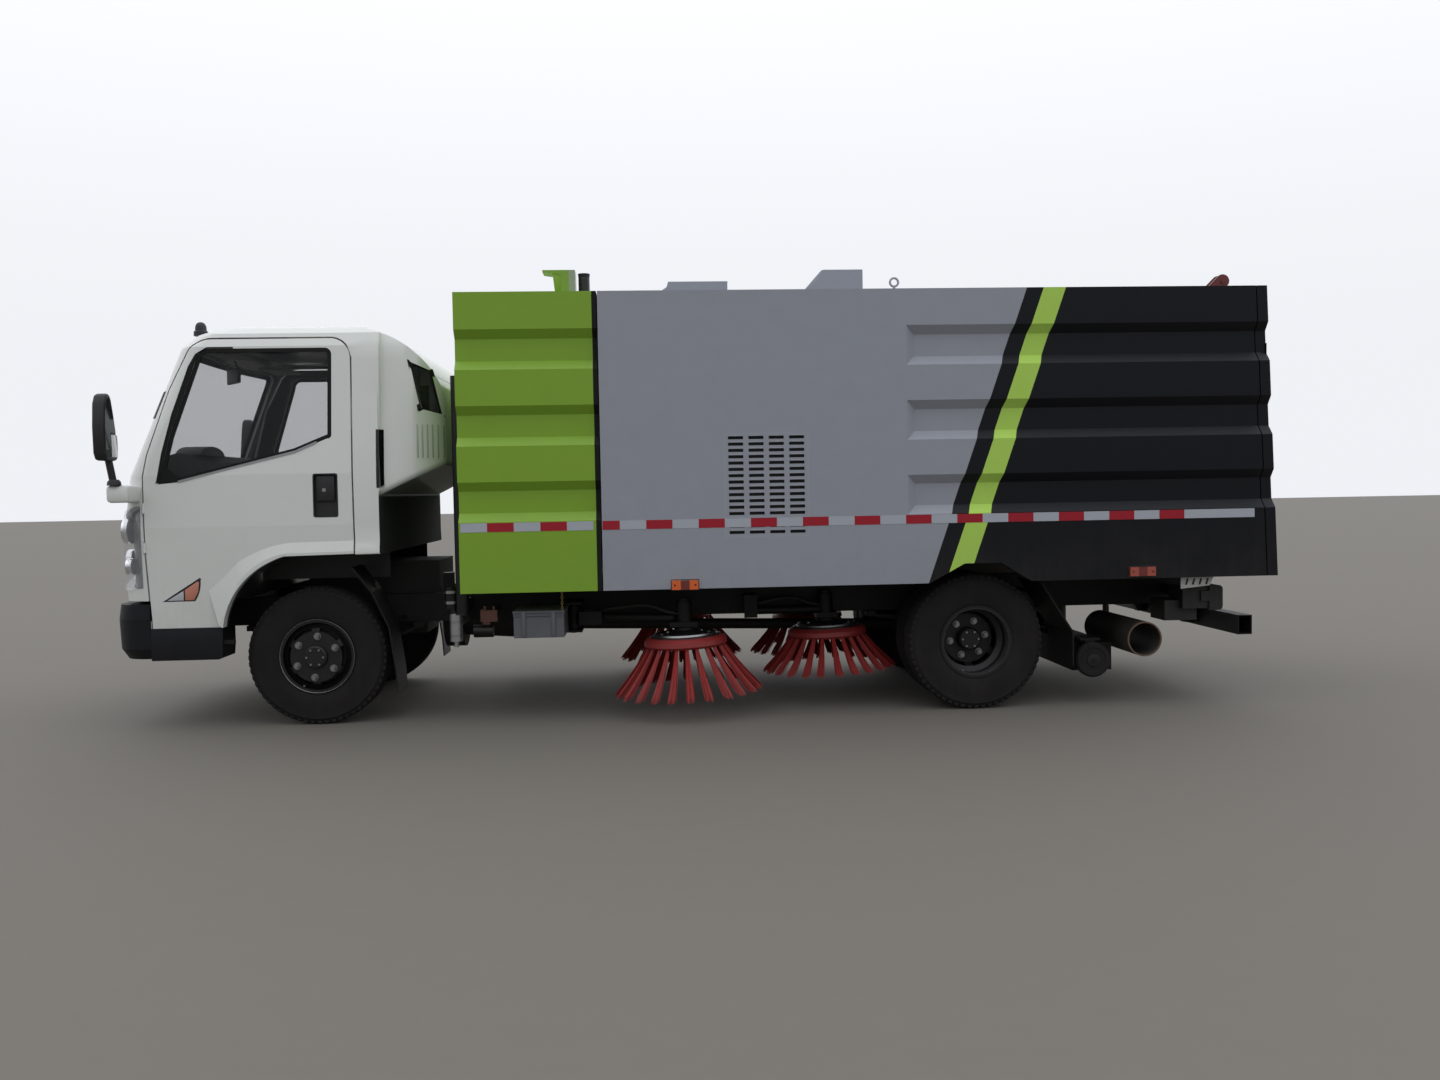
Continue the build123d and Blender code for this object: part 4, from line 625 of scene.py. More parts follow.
def level_curve(tree, height, column, low, high):
    """A column of the cab's level sections as a curve over the height."""
    add, subtract, multiply, divide = arithmetic(tree, "ADD", "SUBTRACT", "MULTIPLY", "DIVIDE")
    node = tree.nodes.new("ShaderNodeFloatCurve")
    top, bottom = CAB_LEVELS[-1][0], CAB_LEVELS[0][0]
    curve = node.mapping.curves[0]
    spots = [((level[0] - bottom) / (top - bottom), (level[column] - low) / (high - low))
             for level in CAB_LEVELS]
    curve.points[0].location = spots[0]
    curve.points[-1].location = spots[-1]
    for spot in spots[1:-1]:
        curve.points.new(*spot)
    for point in curve.points:
        point.handle_type = "VECTOR"
    node.mapping.update()
    tree.links.new(divide(subtract(height, bottom), top - bottom), node.inputs["Value"])
    return add(multiply(node.outputs["Value"], high - low), low)


def cab_inside_group():
    """The inner side of the cab's skin, told by the depth under its outer form."""
    tree, start, end = new_group("cab_inside", {"Depth": 0.03})
    add, subtract, multiply, divide = arithmetic(tree, "ADD", "SUBTRACT", "MULTIPLY", "DIVIDE")
    smaller, larger, above, below = arithmetic(tree, "MINIMUM", "MAXIMUM", "GREATER_THAN", "LESS_THAN")
    absolute, root = arithmetic(tree, "ABSOLUTE", "SQRT")
    x, y, z = parted(tree, object_place(tree))
    y = absolute(y)
    half = level_curve(tree, z, 3, 0.7, 1.0)
    front = level_curve(tree, z, 1, -1.2, -0.5)
    along = divide(y, SKIN_FRONT_HALF)
    fall = multiply(smaller(multiply(along, along), 1.0), SKIN_FALL)
    behind = subtract(subtract(x, FRONT_AXLE_X), add(front, fall))
    near = [larger(subtract(SKIN_RADIUS, side), 0.0) for side in (behind, subtract(half, y))]
    depth = subtract(SKIN_RADIUS, root(add(*[multiply(side, side) for side in near])))
    mask = multiply(above(depth, start.outputs["Depth"]), below(z, SKIN_TOP))
    mask = multiply(mask, below(x, SKIN_REAR))
    room = group_node(tree, "region", Low=(FRONT_AXLE_X + 0.30, -0.1, 1.50),
                      High=(FRONT_AXLE_X + 0.70, 0.70, 2.00))
    tree.links.new(larger(mask, room.outputs["Mask"]), end.inputs["Mask"])
    return tree


def cab_underside_shade_group():
    """Painted shade on the cab's underside behind the doors: below a line that rises to the rear."""
    tree, start, end = new_group("cab_underside_shade", {"Start": 0.397, "Height": 1.300, "Slope": 0.50})
    add, subtract, multiply, above = arithmetic(tree, "ADD", "SUBTRACT", "MULTIPLY", "GREATER_THAN")
    x, y, z = parted(tree, object_place(tree))
    behind = subtract(subtract(x, FRONT_AXLE_X), start.outputs["Start"])
    line = add(multiply(behind, start.outputs["Slope"]), start.outputs["Height"])
    soft = ramp_between(tree, subtract(line, z), -0.055, 0.006)
    tree.links.new(multiply(soft, above(behind, 0.0)), end.inputs["Mask"])
    return tree


def scuff_group():
    """Short scratches and rubbed spots."""
    tree, start, end = new_group("scuffs", {"Amount": 0.3})
    multiply, = arithmetic(tree, "MULTIPLY")
    place = object_place(tree)
    lines = noise_node(tree, stretched(tree, place, (14.0, 14.0, 160.0)), 1.0, 3.0)
    spots = noise_node(tree, place, 14.0, 8.0, 0.7)
    mask = multiply(ramp_between(tree, lines, 0.52, 0.72), ramp_between(tree, spots, 0.48, 0.7))
    tree.links.new(multiply(mask, start.outputs["Amount"], True), end.inputs["Mask"])
    return tree


def stripe_group():
    """Which paint a point of the hopper has: grey in front, black behind, a slanting lime stripe."""
    inputs = {"Grey": (0.3, 0.3, 0.3, 1), "Black": (0.01, 0.01, 0.01, 1), "Lime": (0.4, 0.6, 0.0, 1),
              "Inside": (0.2, 0.2, 0.2, 1)}
    tree, start, end = new_group("diagonal_stripe", inputs, ("Color",))
    absolute, subtract, multiply = arithmetic(tree, "ABSOLUTE", "SUBTRACT", "MULTIPLY")
    above, below = arithmetic(tree, "GREATER_THAN", "LESS_THAN")
    x, y, z = parted(tree, object_place(tree))
    along = subtract(x, multiply(subtract(z, BODY_TOP), STRIPE_LEAN))
    lime_start = STRIPE_START + BLACK_WIDTH
    in_stripe = multiply(above(along, lime_start), below(along, lime_start + LIME_WIDTH))
    inner = multiply(below(absolute(y), BODY_SIDE - 0.05), below(z, BODY_TOP - 0.03))
    result = start.outputs["Grey"]
    for mask, paint_name in ((above(along, STRIPE_START), "Black"), (in_stripe, "Lime"), (inner, "Inside")):
        result = mix_colour(tree, mask, result, start.outputs[paint_name])
    tree.links.new(result, end.inputs["Color"])
    return tree


GROUP_MAKERS = {"road_dust": road_dust_group, "surface_grain": surface_group, "scuffs": scuff_group,
                "diagonal_stripe": stripe_group, "region": region_group, "cab_inside": cab_inside_group,
                "cab_underside_shade": cab_underside_shade_group}
GROUPS = {}
FINISHES = {}


def group_node(tree, name, **values):
    """A node of a shared group, which is made when it is first needed."""
    if name not in GROUPS:
        GROUPS[name] = GROUP_MAKERS[name]()
    node = tree.nodes.new("ShaderNodeGroup")
    node.node_tree = GROUPS[name]
    for label, value in values.items():
        node.inputs[label.replace("_", " ")].default_value = value
    return node


def relief(tree, height, bump, voronoi, weave):
    """The normal of a finish, from its height with cells or woven threads added to it."""
    if voronoi:
        cells = tree.nodes.new("ShaderNodeTexVoronoi")
        put(tree, voronoi, cells.inputs["Scale"])
        put(tree, object_place(tree), cells.inputs["Vector"])
        height = math_node(tree, "ADD", height, cells.outputs["Distance"])
    if weave:
        threads = []
        for direction in ("X", "Z"):
            thread = tree.nodes.new("ShaderNodeTexWave")
            thread.bands_direction = direction
            put(tree, weave, thread.inputs["Scale"])
            put(tree, object_place(tree), thread.inputs["Vector"])
            threads.append(thread.outputs["Fac"])
        height = math_node(tree, "ADD", height, math_node(tree, "MULTIPLY", *threads))
    node = tree.nodes.new("ShaderNodeBump")
    for label, value in (("Strength", RELIEF_STRENGTH), ("Distance", bump), ("Height", height)):
        put(tree, value, node.inputs[label])
    return node.outputs["Normal"]


def dusty_roughness(tree, mask, roughness):
    """The plain roughness where there is no dust, and a dull one where it lies."""
    node = tree.nodes.new("ShaderNodeMapRange")
    for label, value in (("Value", mask), ("To Min", roughness), ("To Max", DUSTY_ROUGHNESS)):
        put(tree, value, node.inputs[label])
    return node.outputs["Result"]


def finish(name, base, roughness=0.5, metallic=0.0, coat=0.0, coat_roughness=0.08, specular=0.5, mottle=0.15,
           dust=0.0, dust_low=0.15, dust_high=1.1, grain=0.2, grain_scale=420.0, wave=0.0, wave_scale=3.0,
           bump=0.02, scuffs=0.0, scuff_colour=(0.3, 0.3, 0.3), alpha=1.0, striped=False, sheen=0.0,
           voronoi=0.0, weave=0.0, inside=None, under=None, regions=()):
    """A material: base colour with mottling, scuffs and road dust over it, and grain in its bump.

    Each region is a low corner, a high corner and the colour between them, X from the front axle.
    """
    if name in FINISHES:
        return FINISHES[name]
    material = bpy.data.materials.new(name)
    material.use_nodes = True
    tree = material.node_tree
    shader = tree.nodes["Principled BSDF"]

    def mask_of(group, **values):
        return group_node(tree, group, **values).outputs["Mask"]

    surface = group_node(tree, "surface_grain", Grain_Scale=grain_scale, Grain=grain, Wave_Scale=wave_scale,
                         Wave=wave)
    if striped:
        stripe = group_node(tree, "diagonal_stripe", Grey=(*paint().body_grey, 1),
                            Black=(*paint().body_black, 1), Lime=(*paint().stripe_lime, 1),
                            Inside=HOPPER_INSIDE)
        base = stripe.outputs["Color"]
        darker = mix_colour(tree, mottle, base, STRIPE_MOTTLE)
    else:
        darker = [c * (1 - mottle) for c in base]
    layers = [(surface.outputs["Mottle"], darker)]
    for (x0, *low), (x1, *high), other in regions:
        mask = mask_of("region", Low=(FRONT_AXLE_X + x0, *low), High=(FRONT_AXLE_X + x1, *high))
        layers.append((mask, other))
    # Painted shade: below the line behind the doors the colour turns to the under colour, near black.
    if under:
        shade = mask_of("cab_underside_shade", Start=0.397, Height=1.300, Slope=0.50)
        layers.append((shade, under))
    if inside:
        layers.append((mask_of("cab_inside", Depth=0.03), inside))
    if scuffs:
        layers.append((mask_of("scuffs", Amount=scuffs), scuff_colour))
    if dust:
        mask = mask_of("road_dust", Low=dust_low, High=dust_high, Amount=dust)
        layers.append((mask, paint().dust))
        roughness = dusty_roughness(tree, mask, roughness)
    # Under the painted shade the coat is taken away and the roughness raised, so no reflection shows there.
    if under:
        roughness = math_node(tree, "MAXIMUM", roughness, shade)
        coat = math_node(tree, "MULTIPLY", math_node(tree, "SUBTRACT", 1.0, shade), coat)
    for mask, other in layers:
        base = mix_colour(tree, mask, base, other)
    normal = relief(tree, surface.outputs["Height"], bump, voronoi, weave)
    for label, value in (("Base Color", base), ("Roughness", roughness), ("Metallic", metallic),
                         ("Coat Weight", coat), ("Coat Roughness", coat_roughness), ("Normal", normal),
                         ("Specular IOR Level", specular), ("Alpha", alpha), ("Sheen Weight", sheen)):
        put(tree, value, shader.inputs[label])
    FINISHES[name] = material
    return material


# Finishes

def cab_white():
    return finish("cab_white", paint().cab_white, 0.35, coat=0.6, mottle=0.04, dust=0.10, dust_low=0.55,
                  dust_high=1.15, bump=0.0006, wave=1.0, wave_scale=4.0, inside=(0.020, 0.020, 0.021),
                  # Painted shade: under is the near-black shade under the cab behind the doors; the first
                  # region paints near-black shade inside the front wheel arch, the second on the box under
                  # the space behind the doors.
                  under=(0.004, 0.005, 0.004),
                  regions=(((-0.62, -0.1, 0.5), (0.39, 0.93, 1.03), (0.004, 0.004, 0.005)),
                           ((0.395, -0.1, 0.5), (0.80, 0.965, 1.31), (0.004, 0.005, 0.004))))


def body_green():
    return finish("body_green", paint().body_green, 0.38, coat=0.15, coat_roughness=0.15, specular=0.35,
                  mottle=0.08, dust=0.06, dust_low=0.7, dust_high=1.2, bump=0.003, wave=1.0, wave_scale=2.2)


def body_paint():
    return finish("body_paint", paint().body_grey, 0.42, coat=0.08, coat_roughness=0.2, specular=0.22,
                  mottle=0.08, dust=0.08, dust_low=0.7, dust_high=1.2, bump=0.004, wave=1.0, wave_scale=2.2,
                  striped=True)


def chassis_black():
    return finish("chassis_black", paint().chassis_black, 0.5, specular=0.3, mottle=0.3, dust=0.07,
                  dust_low=0.05, dust_high=1.0, bump=0.002, scuffs=0.2, scuff_colour=(0.04, 0.036, 0.032))


def cast_steel():
    return finish("cast_steel", (0.014, 0.013, 0.013), 0.65, mottle=0.4, dust=0.12, dust_low=0.1,
                  dust_high=1.2, bump=0.004, grain_scale=160.0, scuffs=0.5,
                  scuff_colour=(0.11, 0.06, 0.035))


def wheel_black():
    return finish("wheel_black", (0.010, 0.010, 0.012), 0.40, specular=0.4, mottle=0.25, dust=0.06,
                  dust_low=0.0, dust_high=1.2, bump=0.001, scuffs=0.25, scuff_colour=(0.06, 0.06, 0.06))


def bright_steel():
    return finish("bright_steel", (0.42, 0.42, 0.42), 0.30, metallic=1.0, mottle=0.2, dust=0.15,
                  dust_low=0.0, dust_high=1.2, bump=0.0008, scuffs=0.4, scuff_colour=(0.2, 0.18, 0.16))


def chrome():
    return finish("chrome", (0.72, 0.73, 0.74), 0.12, metallic=1.0, mottle=0.05, bump=0.0003)


def tyre_rubber():
    return finish("tyre_rubber", (0.011, 0.009, 0.010), 0.8, specular=0.3, mottle=0.3, dust=0.07,
                  dust_low=0.0, dust_high=1.3, bump=0.0015, grain_scale=500.0, scuffs=0.2,
                  scuff_colour=(0.03, 0.028, 0.027))


def black_plastic():
    return finish("black_plastic", (0.018, 0.018, 0.02), 0.5, mottle=0.2, dust=0.14, dust_low=0.2,
                  dust_high=1.0, bump=0.0012, voronoi=900.0)


def dark_trim():
    return finish("dark_trim", (0.006, 0.007, 0.011), 0.5, specular=0.25, mottle=0.15, dust=0.05,
                  dust_low=0.35, dust_high=0.9, bump=0.0012, voronoi=700.0)


def interior_trim():
    return finish("interior_trim", (0.045, 0.044, 0.043), 0.65, mottle=0.15, bump=0.0012, voronoi=600.0)


def interior_light():
    return finish("interior_light", (0.26, 0.26, 0.25), 0.75, mottle=0.1, bump=0.0012, voronoi=600.0)


def grey_box():
    return finish("grey_box", (0.13, 0.135, 0.15), 0.55, mottle=0.15, dust=0.1, dust_low=0.4, dust_high=0.8,
                  bump=0.001, scuffs=0.25, scuff_colour=(0.3, 0.3, 0.3))


def seal_rubber():
    return finish("seal_rubber", (0.005, 0.006, 0.005), 0.62, specular=0.25, mottle=0.2, dust=0.02,
                  bump=0.0008)


def window_glass():
    return finish("window_glass", (0.030, 0.036, 0.036), 0.03, alpha=0.20, specular=0.6, mottle=0.03,
                  bump=0.0001, wave=1.0, wave_scale=3.0, grain=0.0)


def mirror_body():
    return finish("mirror_body", (0.012, 0.012, 0.014), 0.42, mottle=0.15, dust=0.08, bump=0.001,
                  voronoi=900.0,
                  regions=(((-1.2, -0.1, 1.20), (-0.7, 1.30, 1.3895), paint().cab_white),))


def roof_parts():
    return finish("roof_parts", paint().body_green, 0.42, coat=0.4, mottle=0.1, dust=0.1, bump=0.002,
                  regions=(((1.487, -0.1, 2.42), (1.528, 1.2, 2.60), (0.34, 0.40, 0.30)),
                           ((1.53, -0.1, 2.42), (1.62, 1.2, 2.60), (0.012, 0.012, 0.013))))


def hopper_roof():
    return finish("hopper_roof", paint().body_grey, 0.42, coat=0.4, mottle=0.1, dust=0.1, bump=0.002,
                  regions=(((5.20, -0.1, 2.42), (5.60, 1.2, 2.70), (0.16, 0.020, 0.020)),))


def lamp_body():
    return finish("lamp_body", (0.010, 0.010, 0.011), 0.5, mottle=0.15, dust=0.2, bump=0.001)


def brass():
    return finish("brass", (0.45, 0.34, 0.14), 0.35, metallic=1.0, mottle=0.3, dust=0.2, bump=0.0008)


def tube_black():
    return finish("tube_black", (0.012, 0.012, 0.013), 0.5, mottle=0.3, dust=0.4, bump=0.002,
                  regions=(((4.0, 0.985, 0.2), (5.2, 1.2, 0.6), (0.14, 0.075, 0.045)),))


def pink_amber():
    return finish("pink_amber", (0.62, 0.24, 0.16), 0.2, coat=0.8, mottle=0.1, bump=0.001, voronoi=300.0)


def canister_body():
    return finish("canister_body", (0.50, 0.51, 0.52), 0.34, metallic=0.9, mottle=0.2, dust=0.15,
                  bump=0.0008,
                  regions=(((0.6, -0.1, 0.779), (0.9, 1.2, 0.90), (0.010, 0.010, 0.011)),
                           ((0.885, -0.1, 0.560), (1.10, 1.2, 0.70), (0.17, 0.085, 0.070)),
                           ((0.885, -0.1, 0.40), (1.10, 1.2, 0.560), (0.025, 0.025, 0.026)),
                           ((0.6, -0.1, 0.625), (0.9, 1.2, 0.780), (0.030, 0.030, 0.033))))


def mirror_glass():
    return finish("mirror_glass", (0.80, 0.82, 0.83), 0.04, metallic=1.0, mottle=0.02, bump=0.0001)


def dark_mirror():
    return finish("dark_mirror", (0.10, 0.105, 0.11), 0.08, metallic=1.0, mottle=0.02, bump=0.0001)


def clear_lens():
    return finish("clear_lens", (0.70, 0.73, 0.76), 0.06, alpha=0.22, specular=0.8, coat=0.6, mottle=0.02,
                  bump=0.0004, wave=0.6, wave_scale=60.0)


def red_lens():
    return finish("red_lens", (0.45, 0.012, 0.010), 0.2, coat=0.8, mottle=0.15, bump=0.002, voronoi=220.0,
                  dust=0.2)


def amber_lens():
    return finish("amber_lens", (0.85, 0.14, 0.010), 0.22, coat=0.8, mottle=0.2, bump=0.002, voronoi=220.0,
                  regions=(((4.60, -0.1, 0.70), (4.90, 1.2, 0.90), (0.40, 0.075, 0.045)),
                           ((2.082, -0.1, 0.70), (2.132, 1.2, 0.90), (0.16, 0.016, 0.010)),
                           ((4.710, -0.1, 0.70), (4.760, 1.2, 0.90), (0.16, 0.016, 0.010))))


def bristle_red():
    return finish("bristle_red", paint().bristle_red, 0.5, specular=0.3, mottle=0.35, dust=0.15,
                  dust_low=0.08, dust_high=0.34, bump=0.0004, grain_scale=900.0)


def hub_red():
    return finish("hub_red", (0.34, 0.026, 0.026), 0.45, mottle=0.3, dust=0.12, dust_low=0.3, dust_high=0.6,
                  bump=0.001)


def tape_red():
    return finish("tape_red", paint().tape_red, 0.3, coat=0.1, specular=0.3, mottle=0.1, bump=0.0005,
                  voronoi=420.0)


def tape_white():
    return finish("tape_white", paint().tape_white, 0.25, coat=0.4, mottle=0.08, bump=0.0005, voronoi=420.0)


def seat_cloth():
    return finish("seat_cloth", (0.075, 0.075, 0.085), 0.9, mottle=0.25, sheen=0.3, bump=0.0008,
                  weave=260.0)


def hose_rubber():
    return finish("hose_rubber", (0.014, 0.014, 0.015), 0.55, mottle=0.2, dust=0.25, bump=0.0015,
                  weave=120.0)


def galvanised():
    return finish("galvanised", (0.42, 0.43, 0.44), 0.42, metallic=0.85, mottle=0.3, dust=0.25, bump=0.0008,
                  voronoi=70.0)


# Greenish grey: painted shade with a painted reflection of the green front compartment, used on the white
# cab's air ribs.
def painted_shade_and_reflection():
    return finish("painted_shade_and_reflection", (0.50, 0.53, 0.46), 0.4, coat=0.4, mottle=0.05, bump=0.0006)


# Dark metal with bright scuffs: wear, and a painted reflection of the light on the rim's inner wall.
def worn_rim_and_reflection():
    return finish("worn_rim_and_reflection", (0.20, 0.20, 0.21), 0.38, metallic=0.7, mottle=0.6, dust=0.2, dust_low=0.0,
                  dust_high=0.9, bump=0.002, scuffs=0.6, scuff_colour=(0.45, 0.45, 0.46))


def plain_grey():
    return finish("plain_grey", paint().body_grey, 0.45, mottle=0.06, bump=0.0006)


def plain_plate():
    return finish("plain_plate", (0.60, 0.60, 0.58), 0.45, mottle=0.05, dust=0.2, bump=0.0006)


def clear_trim():
    return finish("clear_trim", (0.55, 0.57, 0.60), 0.15, coat=0.8, mottle=0.1, bump=0.001, voronoi=300.0)


def lamp_reflector():
    return finish("lamp_reflector", (0.80, 0.81, 0.83), 0.16, metallic=1.0, mottle=0.03, bump=0.0015,
                  voronoi=90.0)


def pale_floor():
    return finish("pale_floor", (0.172, 0.158, 0.136), 0.85, mottle=0.06, bump=0.002)


NODE_FINISHES = {
    chassis_black: ("chassis_frame", "frame_brackets", "leaf_springs", "steps_and_mudguards", "underrun_bar",
                    "fuel_tank", "tip_barrel", "nozzle_links", "suction_nozzle", "outer_brush_swing_left",
                    "outer_brush_swing_right", "outer_brush_arm_left", "outer_brush_arm_right",
                    "inner_brush_arm_left", "inner_brush_arm_right"),
    cast_steel: ("axles", "engine", "gearbox_and_shaft", "auxiliary_engine", "knuckle_left", "knuckle_right"),
    wheel_black: ("front_wheel_left", "front_wheel_right", "rear_wheels_left", "rear_wheels_right"),
    chrome: ("tip_rod",),
    cab_white: ("cab_shell", "door_left", "door_right"),
    dark_trim: ("front_bumper",),
    window_glass: ("cab_glass", "door_glass_left", "door_glass_right"),
    body_green: ("front_compartment",),
    roof_parts: ("roof_fittings",),
    hopper_roof: ("hopper_roof_fittings",),
    body_paint: ("hopper", "louvre_panels", "tailgate"),
    seal_rubber: ("seam_seal",),
    black_plastic: ("intake_snorkel",),
    mirror_body: ("mirrors",),
    interior_trim: ("dashboard",),
    grey_box: ("battery_box",),
    canister_body: ("filter_canister",),
    tube_black: ("suction_pipes",),
    lamp_body: ("tail_lamps",),
    amber_lens: ("marker_lamps",),
    clear_lens: ("headlamps",),
    tyre_rubber: ("nozzle_wheel_left", "nozzle_wheel_right"),
}


class SWEEPER_OT_frame_finishes(Operator):
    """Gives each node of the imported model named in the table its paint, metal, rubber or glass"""
    bl_idname = "sweeper.frame_finishes"
    bl_label = "Frame finishes"

    def execute(self, context):
        for maker, names in NODE_FINISHES.items():
            for name in names:
                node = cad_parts[name]
                node.data.materials.clear()
                node.data.materials.append(maker())
        return {"FINISHED"}


# Tyres and wheels

TYRE_BEAD = 0.203
# A sidewall: metres out from the bead or down from the tread, and in from the tyre's side
WALL_AT_BEAD = ((0.0, 0.016), (0.010, 0.010), (0.030, 0.004), (0.070, 0.0), (0.110, 0.001))
WALL_AT_TREAD = ((0.040, 0.007), (0.034, 0.006), (0.024, 0.014), (0.016, 0.017), (0.004, 0.029))
GROOVES = (-0.052, -0.018, 0.018, 0.052)
GROOVE_HALF = 0.009
LUG_HALF = 0.013
# Parts of a nut: name, start and end out of the wheel's face, radius and sides
NUT_PARTS = (("washer", 0.0, 0.004, 0.021, 20), ("nut", 0.003, 0.024, 0.0175, 6),
             ("stud", 0.020, 0.034, 0.0095, 12))
NUT_PHASES = {"front": 35, "rear": 51}
NUT_FACES = {"front": 0.885, "rear": 0.775}
CAP_FACES = {"front": 0.911, "rear": 0.843}
RIM_EDGES = {"front": 0.865, "rear": 0.955}
REAR_NUT_CIRCLE = 0.107
CAP_BOLT_CIRCLE = 0.047
VALVE_ANGLE = math.radians(245)
VALVE_CIRCLE = 0.185
DRUM_DEPTHS = (0.190, 0.055)
WHEELS = (("front", "front_wheel_", FRONT_AXLE_X), ("rear", "rear_wheels_", REAR_AXLE_X))
ACROSS = (0, 1, 0)
UP = (0, 0, 1)


def treaded_tyre(name, y, x):
    """A tyre with ribs, grooves and shoulder blocks, centred at y."""
    low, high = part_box("front_tyre_left")
    half = (high.y - low.y) / 2
    r = TYRE_RADIUS
    deep = sizes().tread_depth
    wall = [(TYRE_BEAD + out, -half + inward) for out, inward in WALL_AT_BEAD]
    wall += [(r - down, -half + inward) for down, inward in WALL_AT_TREAD]
    ribs = []
    for middle in GROOVES:
        for radius, share in ((r, -1), (r - deep, -0.5), (r - deep, 0.5), (r, 1)):
            ribs.append((radius, middle + share * GROOVE_HALF))
    profile = wall + ribs + [(radius, -place) for radius, place in reversed(wall)]
    tyre = turned(name, profile + profile[:1], (x, y, r), ACROSS, 72)
    lug = block("lug", (x - LUG_HALF, x + LUG_HALF), (y - half + 0.013, y - half + 0.034),
                (2 * r - 0.022, 2 * r - 0.0045), 0.003)
    lugs = ring_of(lug, sizes().tread_blocks, (x, y, r), ACROSS)
    far = copy_of(lugs, Matrix.Translation((0, 2 * y, 0)) @ Matrix.Scale(-1, 4, ACROSS))
    pick(far)
    edit(lambda: bpy.ops.mesh.flip_normals())
    return joined(name, [tyre, lugs, far])


class SWEEPER_OT_tyres(Operator):
    """Makes the six road tyres with their tread"""
    bl_idname = "sweeper.tyres"
    bl_label = "Tyres"

    def execute(self, context):
        for side, s in SIDES:
            low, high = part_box("front_tyre_" + side)
            tyre = treaded_tyre("front_tread_" + side, (low.y + high.y) / 2, FRONT_AXLE_X)
            fitted(tyre, "front_wheel_" + side, tyre_rubber(), ["front_tyre_" + side])
            half = (high.y - low.y) / 2
            low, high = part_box("rear_tyres_" + side)
            twins = [treaded_tyre("rear_tread", y, REAR_AXLE_X) for y in (low.y + half, high.y - half)]
            pair = joined("rear_treads_" + side, twins)
            fitted(pair, "rear_wheels_" + side, tyre_rubber(), ["rear_tyres_" + side])
        return {"FINISHED"}


def wheel_nuts(name, x, face_y, s, r, phase):
    """Nuts with their studs and washers, standing out of a wheel's face."""
    centre = (x, face_y, TYRE_RADIUS)
    pieces = []
    for part, *ends, radius, sides in NUT_PARTS:
        start, end = [(x + r, face_y + s * out, TYRE_RADIUS) for out in ends]
        piece = rod(part, start, end, radius, sides)
        pieces.append(rounded(piece, 0.0015, 1) if part == "nut" else piece)
    one = joined(name, pieces)
    one.data.transform(turn_about(centre, ACROSS, math.radians(phase)))
    return ring_of(one, sizes().nut_count, centre, ACROSS)


def hub_bolts(name, x, face_y, s):
    """Small bolts round the hub cap."""
    place = x + CAP_BOLT_CIRCLE
    bolt = rod(name, (place, face_y, TYRE_RADIUS), (place, face_y + s * 0.008, TYRE_RADIUS), 0.0065, 6)
    return ring_of(bolt, 6, (x, face_y, TYRE_RADIUS), ACROSS)


def rim_lip(name, x, y, s):
    """Bright edge of the rim, worn and also a painted glint, with the valve in front of it."""
    profile = [(0.2105, 0.0), (0.2125, s * 0.003), (0.2105, s * 0.006), (0.2075, s * 0.003), (0.2105, 0.0)]
    lip = turned(name, profile, (x, y, TYRE_RADIUS), ACROSS, 64)
    spot_x = x + VALVE_CIRCLE * math.cos(VALVE_ANGLE)
    spot_z = TYRE_RADIUS + VALVE_CIRCLE * math.sin(VALVE_ANGLE)
    valve = rod("valve", (spot_x, y - s * 0.030, spot_z), (spot_x, y + s * 0.004, spot_z), 0.0045, 10)
    return joined(name, [lip, valve])


def brake_drum(name, x, inner, outer, s):
    profile = [(0.0, inner), (0.158, inner), (0.166, inner + s * 0.020), (0.166, outer - s * 0.012),
               (0.158, outer), (0.0, outer)]
    return turned(name, profile, (x, 0, TYRE_RADIUS), ACROSS, 48)


class SWEEPER_OT_wheel_nuts(Operator):
    """Puts nuts, hub bolts, rim lips, valves and drums on the wheels"""
    bl_idname = "sweeper.wheel_nuts"
    bl_label = "Wheel nuts"

    def execute(self, context):
        for side, s in SIDES:
            for axle, node, x in WHEELS:
                circle = sizes().nut_circle if axle == "front" else REAR_NUT_CIRCLE
                face = NUT_FACES[axle]
                nuts = wheel_nuts(axle + "_nuts_" + side, x, s * face, s, circle, NUT_PHASES[axle])
                bolts = hub_bolts(axle + "_hub_bolts_" + side, x, s * CAP_FACES[axle], s)
                low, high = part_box(node + side)
                edge = min(abs(low.y if s < 0 else high.y), RIM_EDGES[axle])
                lip = rim_lip(node + "lip_" + side, x, s * edge, s)
                inner, outer = [s * (face - depth) for depth in DRUM_DEPTHS]
                drum = brake_drum(node + "drum_" + side, x, inner, outer, s)
                # The rim lip's bright galvanised finish is partly a painted glint.
                for piece, maker in ((nuts, bright_steel), (bolts, bright_steel), (lip, galvanised)):
                    fitted(piece, node + side, maker())
                fitted(drum, node + side, cast_steel())
        return {"FINISHED"}


# Brushes

BRUSH_DISC_Z = 0.440
BRUSH_TILT = math.radians(-2.5)
BRUSH_ROOT = 0.205
